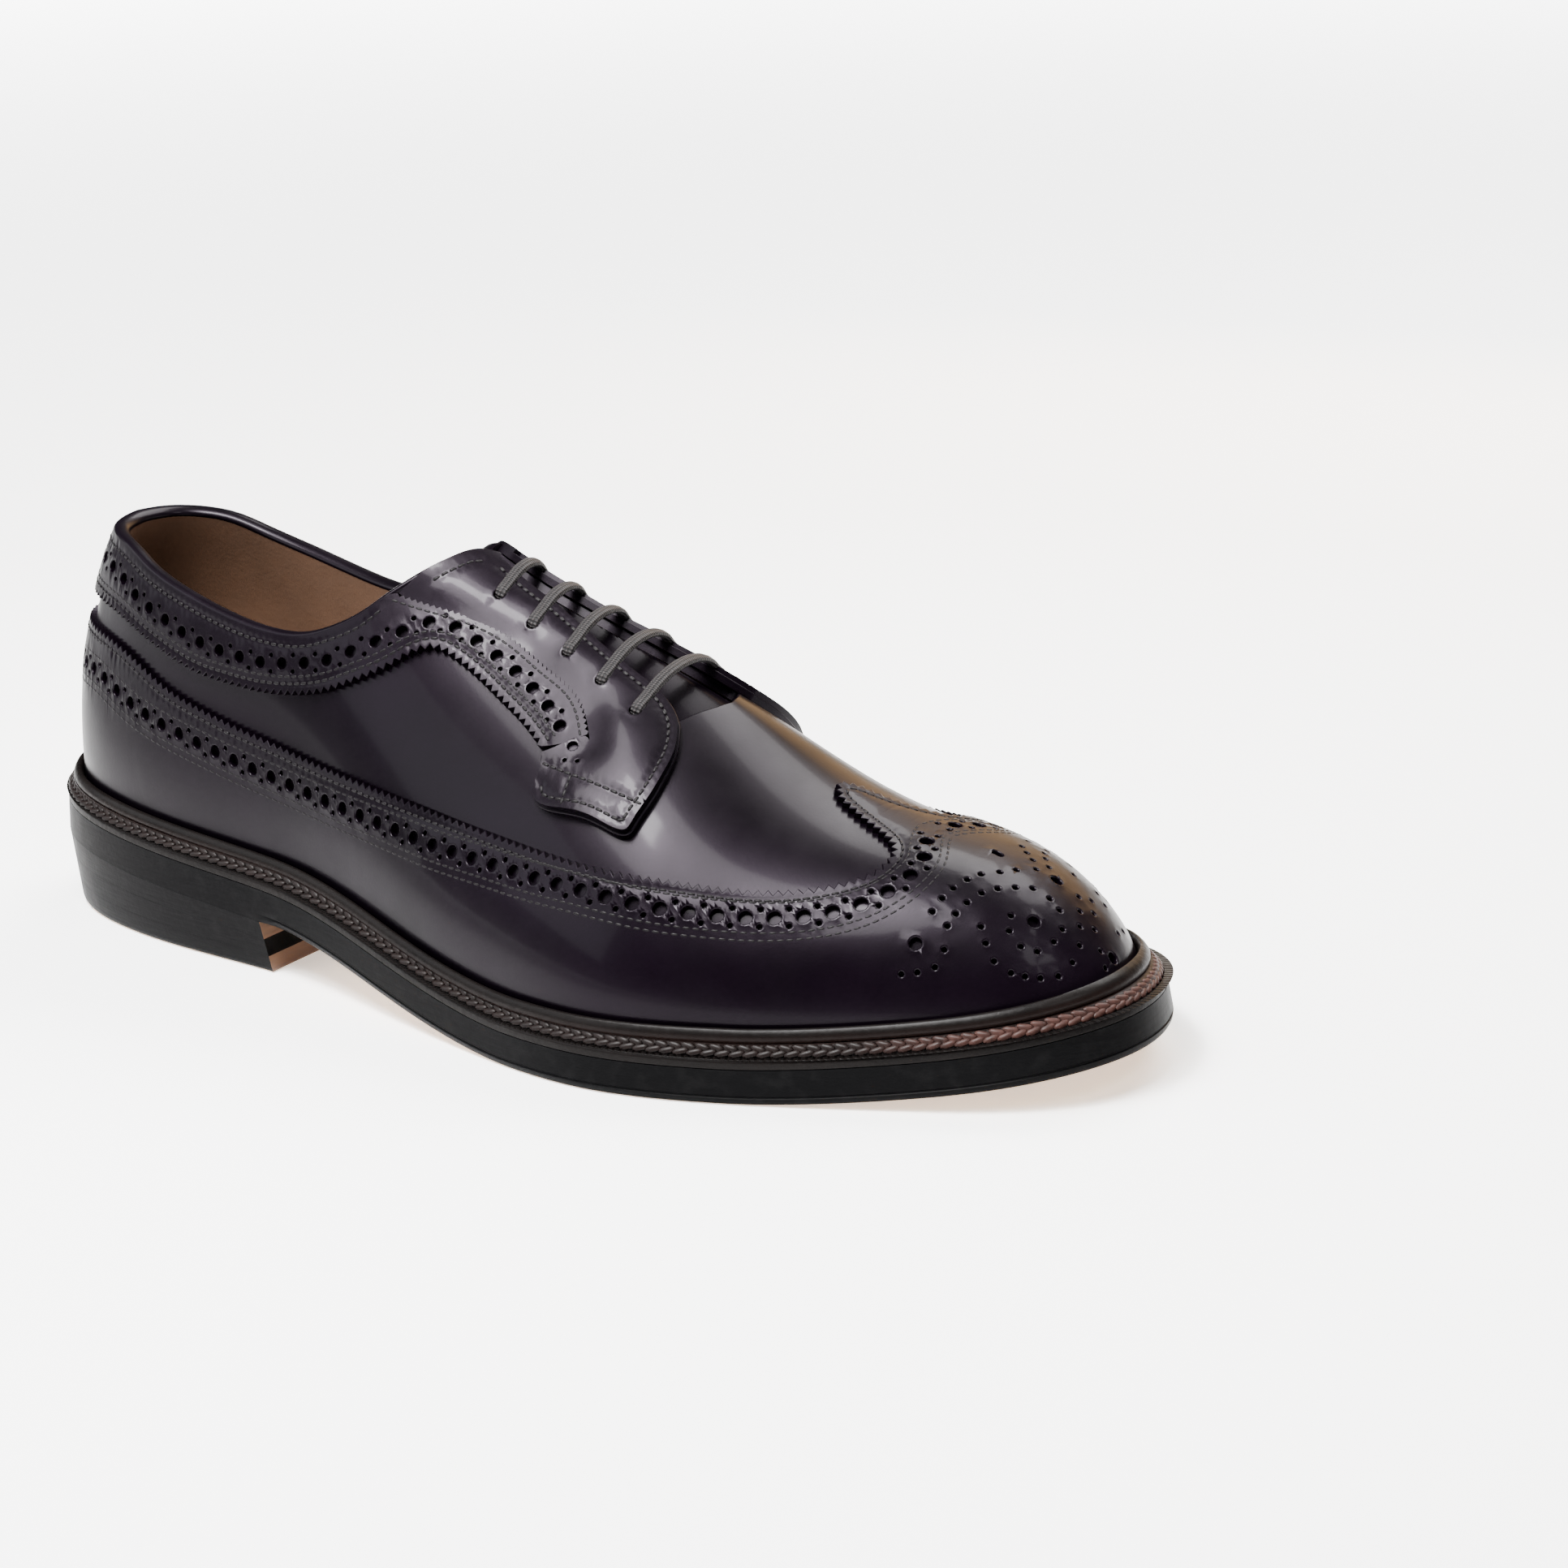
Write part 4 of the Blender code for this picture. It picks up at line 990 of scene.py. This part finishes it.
BAND_ROW = [
    (0.004, 0.402), (0.060, 0.400), (0.125, 0.367), (0.144, 0.347), (0.169, 0.333), (0.194, 0.320),
    (0.216, 0.313), (0.240, 0.313), (0.268, 0.320), (0.293, 0.333), (0.316, 0.357), (0.340, 0.390),
    (0.361, 0.433), (0.382, 0.490), (0.402, 0.547), (0.421, 0.610), (0.441, 0.644), (0.464, 0.650),
    (0.486, 0.647), (0.509, 0.638), (0.531, 0.622), (0.551, 0.601), (0.566, 0.573),
]
BAND_TOP = OVERLAY_GAP + OVERLAY + 0.3
band_end = [BAND_HIGH[-1], (0.568, 0.560), BAND_LOW[-1]]
collar = [row for row in TOPLINE if row[0] < BAND_HIGH[0][0]] + [BAND_HIGH[0]]
band_rims, band_holes, band_lips, band_seams, band_lines = [], [], [], [], []
for side in (-1, 1):
    low, high, row = drawn(BAND_LOW, side), drawn(BAND_HIGH, side), drawn(BAND_ROW, side)
    rims, rows = brogued(row, side, 6.6, big=1.5, pair=1.9)
    band_holes += rims
    band_lips += rows
    top = drawn(collar, side)
    lines = [beside(low, 2.0, side), beside(low, 3.7, side), beside(high, -1.6, side),
             beside(top[:-6], -2.4, side)]
    band_lines += lines
    band_seams += [seam(lines[0], side), seam(lines[3], side)]
    rim = [pinked(low, side), drawn(band_end[::-1], side)[1:-1], pinked(high, side, 1.6, 0.7)[::-1]]
    band_rims.append((np.vstack(rim), top[::-1][1:]))
(outer_rim, outer_top), (inner_rim, inner_top) = band_rims
band_loop = np.vstack([outer_rim, outer_top, inner_top[::-1][1:], inner_rim[::-1][:-1]])
band = hide("collar_band_leather", [band_loop], 0.05, BAND_TOP, [SHELL], band_holes, band_lips, band_seams)
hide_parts("collar_band")
band_stitches = repeated("band_stitches", *sewn(band_lines, BAND_TOP - 0.1), (1.75, 0.8, 0.5), THREAD)


# Facings: the laced fronts of the quarters, an outer leather over a bound under-layer, each with five plain
# punched eyelets and a boxed tab sewn down at its foot.
TAB = [
    (0.638, 0.765), (0.647, 0.707), (0.651, 0.627), (0.651, 0.557), (0.649, 0.503), (0.647, 0.470),
    (0.623, 0.452), (0.597, 0.440), (0.563, 0.430), (0.558, 0.460), (0.557, 0.497), (0.554, 0.514),
]
# The facing's edge runs under the band's edge by about this share of the side.
SEAM = 0.016
FACING_TOP = OVERLAY_GAP + FACING
# Soft swellings and hollows: share of the length, share up, radius, height.
FACING_PUFFS = [
    (0.620, 0.462, 6.5, 0.8), (0.592, 0.452, 6.0, 0.6), (0.637, 0.560, 10.0, 0.7),
    (0.600, 0.640, 9.0, 0.5), (0.552, 0.712, 9.0, 0.35), (0.480, 0.740, 9.0, 0.4),
    (0.515, 0.722, 7.0, -0.25), (0.625, 0.505, 4.0, -0.45), (0.585, 0.690, 5.0, -0.25),
    (0.446, 0.720, 7.0, 0.35),
]
# Depth and reach of the dimple at an eyelet, and of the hollow along the band's edge.
EYELET_DIMPLE, SEAM_HOLLOW = (0.15, 3.2), (1.35, 5.5)
# The last holes of the band's row, which run on over the facing: share of the length, share up, radius.
LOW_HOLES = [(0.577, 0.566, 1.25), (0.577, 0.530, 0.55), (0.587, 0.543, 0.55)]


def puffed(side, seam_line):
    """Height of the soft facing over its flat level: puffs, eyelet dimples and the sewn-down edge."""
    swells = [(last(arc(x, side), t), radius, tall) for x, t, radius, tall in FACING_PUFFS]
    depth, reach = EYELET_DIMPLE
    swells += [(last(arc(x, side), t), reach, -depth) for x, t in EYELETS]

    def over(places):
        height = np.zeros(len(places))
        for middle, radius, tall in swells:
            height += tall * np.exp(-((np.linalg.norm(places - middle, axis=1) / radius) ** 2))
        depth, reach = SEAM_HOLLOW
        return height - depth * np.exp(-((apart(places, last(*seam_line.T)) / reach) ** 2))

    return over


seam_high = [(BAND_HIGH[0][0] + SEAM / 6, BAND_HIGH[0][1] + SEAM / 2)] + [
    (x + SEAM / 4, t - SEAM / 2) for x, t in BAND_HIGH[1:]]
seam_end = [seam_high[-1]] + [(x, t - SEAM * 0.3) for x, t in band_end[:-1]] + [TAB[-1]]
front_top = [row for row in TOPLINE if row[0] > seam_high[0][0]]
for side, word in ((-1, "outer"), (1, "inner")):
    under_band, under_end = drawn(seam_high, side), drawn(seam_end, side)
    tab_foot, throat = drawn(TAB[::-1], side), drawn([TAB[0]] + THROAT[::-1], side)
    front = drawn([THROAT[0]] + front_top[::-1], side)
    loop = np.vstack([under_band[:-1], under_end[:-1], tab_foot[:-1], throat[:-1], front])
    punch = [punched_hole((arc(x, side), t), EYELET_RADIUS, 14) for x, t in EYELETS]
    low = [punched_hole((arc(x, side), t), radius, 12 if radius > 1 else 8) for x, t, radius in LOW_HOLES]
    tab_edge = np.vstack([throat[::-1][:-1], drawn(TAB, side)])
    cut = np.linalg.norm(np.diff(last(*tab_edge.T), axis=0), axis=1) > 0.05
    tab_edge = tab_edge[np.r_[cut, True]]
    lines = [beside(tab_edge, 2.6, -side)[4:-10], beside(front[::-1], -3.4, side)[2:-4]]
    box = drawn([(0.648, 0.535), (0.620, 0.525), (0.590, 0.512), (0.560, 0.500)], side)
    post = drawn([(0.588, 0.510), (0.590, 0.470), (0.592, 0.440)], side)
    lines += [box, post[:-1]]
    over = puffed(side, under_band)
    top_loop = np.vstack([under_band[:-1], under_end[:-1], beside(drawn(TAB, side), 0.7, -side)[::-1][:-1],
                          beside(throat[::-1], 0.7, -side)[::-1][:-1], front])
    outer_leather = hide(f"{word}_facing_leather", [top_loop], OVERLAY_GAP + 1.0, FACING_TOP, [SHELL],
                         [rim for rim, _ in punch + low], [lip for _, lip in punch + low],
                         [seam(line, side) for line in lines], over,
                         ride_low=lambda places: np.minimum(over(places), 0))
    under_leather = hide(f"{word}_facing_backing", [loop], 0.05, OVERLAY_GAP + 1.25, [SHELL],
                         [rim for rim, _ in punch], bulge=lambda places: np.minimum(over(places), 0))
    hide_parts(f"{word}_facing")
    threads = sewn(lines, lambda st: FACING_TOP + over(last(*st.T)) - 0.1)
    stitches = repeated(f"{word}_facing_stitches", *threads, (1.8, 0.85, 0.5), THREAD)


# Collar roll: the folded leather edge that binds the top of the quarters and their lining.
def tube(name, path, ups, profile, finishes):
    """A piece swept along a path, its profile given in the side and up directions."""
    ahead = np.gradient(path, axis=0)
    ahead /= np.linalg.norm(ahead, axis=1, keepdims=True)
    side = np.cross(ups, ahead)
    side /= np.linalg.norm(side, axis=1, keepdims=True)
    ups = np.cross(ahead, side)
    profile = np.asarray(profile, float)
    points = path[:, None] + side[:, None] * profile[..., :1] + ups[:, None] * profile[..., 1:]
    count, n = points.shape[1], len(path)
    i = np.arange(count)
    j = (i + 1) % count
    faces = np.vstack([np.column_stack([k * count + i, k * count + j, (k + 1) * count + j,
                                        (k + 1) * count + i]) for k in range(n - 1)]).tolist()
    faces += [list(range(count))[::-1], list(range((n - 1) * count, n * count))]
    run = np.r_[0, np.cumsum(np.linalg.norm(np.diff(path, axis=0), axis=1))]
    uv = np.column_stack([np.repeat(run, count), np.tile(np.arange(count) / count, n)])
    return placed(name, points.reshape(-1, 3), faces, finishes, uv=uv, smooth=70)


turn = np.linspace(0, 2 * np.pi, 13)[:-1]
rim_line = np.vstack([drawn(TOPLINE, -1, 1.5)[::-1], drawn(TOPLINE, 1, 1.5)[1:]])
rim_out = outward(*rim_line.T)
rim_path = raised(rim_line, (BAND_TOP - WALL) / 2)
half = (BAND_TOP + WALL) / 2 + 0.1
oval = np.column_stack([half * 0.98 * np.cos(turn), 1.25 * np.sin(turn)])
ahead = np.gradient(rim_path, axis=0)
ups = np.cross(ahead, rim_out)
roll = tube("collar_roll", rim_path, ups / np.linalg.norm(ups, axis=1, keepdims=True), oval, [SHELL])


# Tongue: one soft shaped piece of shell leather, lined with calf, under the laces from just above the top
# eyelet down to the vamp.
TONGUE = 1.8
TONGUE_EDGE = [
    (0.430, 1.000), (0.432, 0.900), (0.440, 0.800), (0.462, 0.755), (0.510, 0.710), (0.580, 0.670),
    (0.630, 0.650), (0.655, 0.700), (0.665, 0.820), (0.668, 1.000),
]
TONGUE_LEATHER = shell_leather("tongue_leather", 0.3, 1.2)
tongue_top = -(WALL + OVERLAY_GAP)
tongue = hide("tongue_leather", [both_sides(TONGUE_EDGE, 1.5)], tongue_top - TONGUE, tongue_top,
              [TONGUE_LEATHER, LINING], rounded=0.5)
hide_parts("tongue")


# Laces: one oval braided lace of waxed cotton, run straight across in five bars and down through the eyelets.
WAXED_COTTON, shop, wire = finish("waxed_cotton", Coat_Weight=0.03, Coat_Roughness=0.4,
                                  Specular_IOR_Level=0.2)
run_on, round_it = shop.along_and_across()
run_on, round_it = run_on * 5.2, round_it * 25.13
braid = (run_on + round_it).math("SINE") * (run_on - round_it).math("SINE")
strands = shop.ramp(braid, (0.2, 0.0), (0.8, 1.0))
wire("Base Color", shop.mix(strands, (0.006, 0.005, 0.0055), (0.026, 0.021, 0.021)))
wire("Roughness", 0.5 + 0.2 * shop.noise(600, 3))
wire("Normal", shop.bump(braid, 0.00022, 1.0))
LACE_WIDE, LACE_THICK = 3.2, 1.8
for number, (share, rise) in enumerate(EYELETS, start=1):
    edge = float(np.interp(share, *zip(*THROAT)))
    over = FACING_TOP + LACE_THICK / 2
    knots = []
    # From inside the eyelet up over its rim to the throat's edge: share up the side, height over the last.
    for side in (-1, 1):
        stops = [(rise - 0.006, -2.2), (rise - 0.004, 0.2), (rise + 0.006, over - 1.2),
                 ((rise * 2 + edge) / 3, over - 1.1), (edge, over - 0.8)]
        knots.append([raised([(arc(share, side), t)], h)[0] for t, h in stops])
    points = np.array(knots[0] + knots[1][::-1])
    run = np.r_[0, np.cumsum(np.linalg.norm(np.diff(points, axis=0), axis=1))]
    path = spline(np.column_stack([run, points]))(np.arange(0, run[-1], 0.5))
    out = np.array([raised([(arc(share, side), rise)], 1)[0] - raised([(arc(share, side), rise)], 0)[0]
                    for side in (-1, 1)])
    part = np.linspace(0, 1, len(path))[:, None]
    ahead = np.gradient(path, axis=0)
    ahead /= np.linalg.norm(ahead, axis=1, keepdims=True)
    wide_way = np.cross(out[0] * (1 - part) + out[1] * part, points[-1] - points[0])
    wide_way /= np.linalg.norm(wide_way, axis=1, keepdims=True)
    ups = np.cross(ahead, wide_way)
    oval = np.column_stack([LACE_WIDE / 2 * np.cos(turn), LACE_THICK / 2 * np.sin(turn)])
    lace = tube(f"lace_{number}", path, ups, oval, [WAXED_COTTON])
    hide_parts(f"lace_bar_{number}")


# Insole: a smooth sheet of brown leather over the whole inside of the sole, glued down. Its solid is shown as
# it is, with the lining's finish.
insole = frame["nodes"]["insole"]
insole.data.materials.clear()
insole.data.materials.append(LINING)


# Stage: a white floor that glows farther out and has painted shade on it to the left, and soft lights: two
# overhead, one at the toe, one behind, a low tan one behind and a wide one on the left.
bpy.ops.mesh.primitive_plane_add(size=40, location=(0, 0, 0))
floor = bpy.context.object
floor.name = "floor"
WHITE, shop, wire = finish("white_sweep", Roughness=0.9, Specular_IOR_Level=0.0, Emission_Strength=9.0)
floor_x, floor_y = shop.axes(shop.place())
distance = (floor_x * floor_x + floor_y * floor_y).math("SQRT")
# Painted shade: in a soft band left of the shoe the floor's colour and glow are made dark; lit is 1 outside
# it.
lit = shop.ramp(floor_x * -0.69 - floor_y * 0.725 - 0.12, (0.05, 1.0), (0.17, 0.0), (0.4, 0.0), (0.9, 1.0))
wire("Base Color", shop.mix(lit, (0.3, 0.3, 0.3), (0.92, 0.92, 0.92)))
glow = shop.mix(shop.ramp(distance / 4, (0.12, 0.0), (0.75, 1.0)), (0.07, 0.07, 0.07), (1.0, 1.0, 1.0))
wire("Emission Color", shop.mix(lit, (0.02, 0.02, 0.02), glow))
floor.data.materials.append(WHITE)
world = bpy.data.worlds.new("studio")
world.use_nodes = True
world.node_tree.nodes["Background"].inputs["Color"].default_value = (0.92, 0.94, 1.0, 1)
world.node_tree.nodes["Background"].inputs["Strength"].default_value = 0.10
bpy.context.scene.world = world
# Name, heading and height of the direction in degrees, distance, size, radiant power, colour.
LAMPS = [
    ("overhead", -18, 68, 1.10, (0.75, 0.55), 48, (1.0, 0.99, 0.98)),
    ("spark", -17, 70, 1.00, (0.22, 0.16), 18, (1.0, 1.0, 1.0)),
    ("toe_lamp", 81, 45, 1.00, (0.3, 0.2), 3, (1.0, 1.0, 1.0)),
    ("behind", 176, 52, 1.20, (0.9, 0.5), 30, (1.0, 0.99, 0.97)),
    ("tan_bounce", -172, 18, 0.80, (0.6, 0.3), 2.2, (1.0, 0.62, 0.30)),
    ("left_wall", -50, 28, 1.60, (2.0, 0.8), 28, (0.95, 0.97, 1.0)),
]
for name, heading, height, distance, size, power, colour in LAMPS:
    turn_to, tip = np.radians(heading), np.radians(height)
    way = Vector((np.sin(turn_to) * np.cos(tip), -np.cos(turn_to) * np.cos(tip), np.sin(tip)))
    bpy.ops.object.light_add(type="AREA", location=Vector((0.02, 0, 0.04)) + way * distance)
    lamp = bpy.context.object
    lamp.name = name
    lamp.data.shape, lamp.data.size, lamp.data.size_y = "RECTANGLE", *size
    lamp.data.energy, lamp.data.color = power, colour
    lamp.rotation_euler = way.to_track_quat("Z", "Y").to_euler()
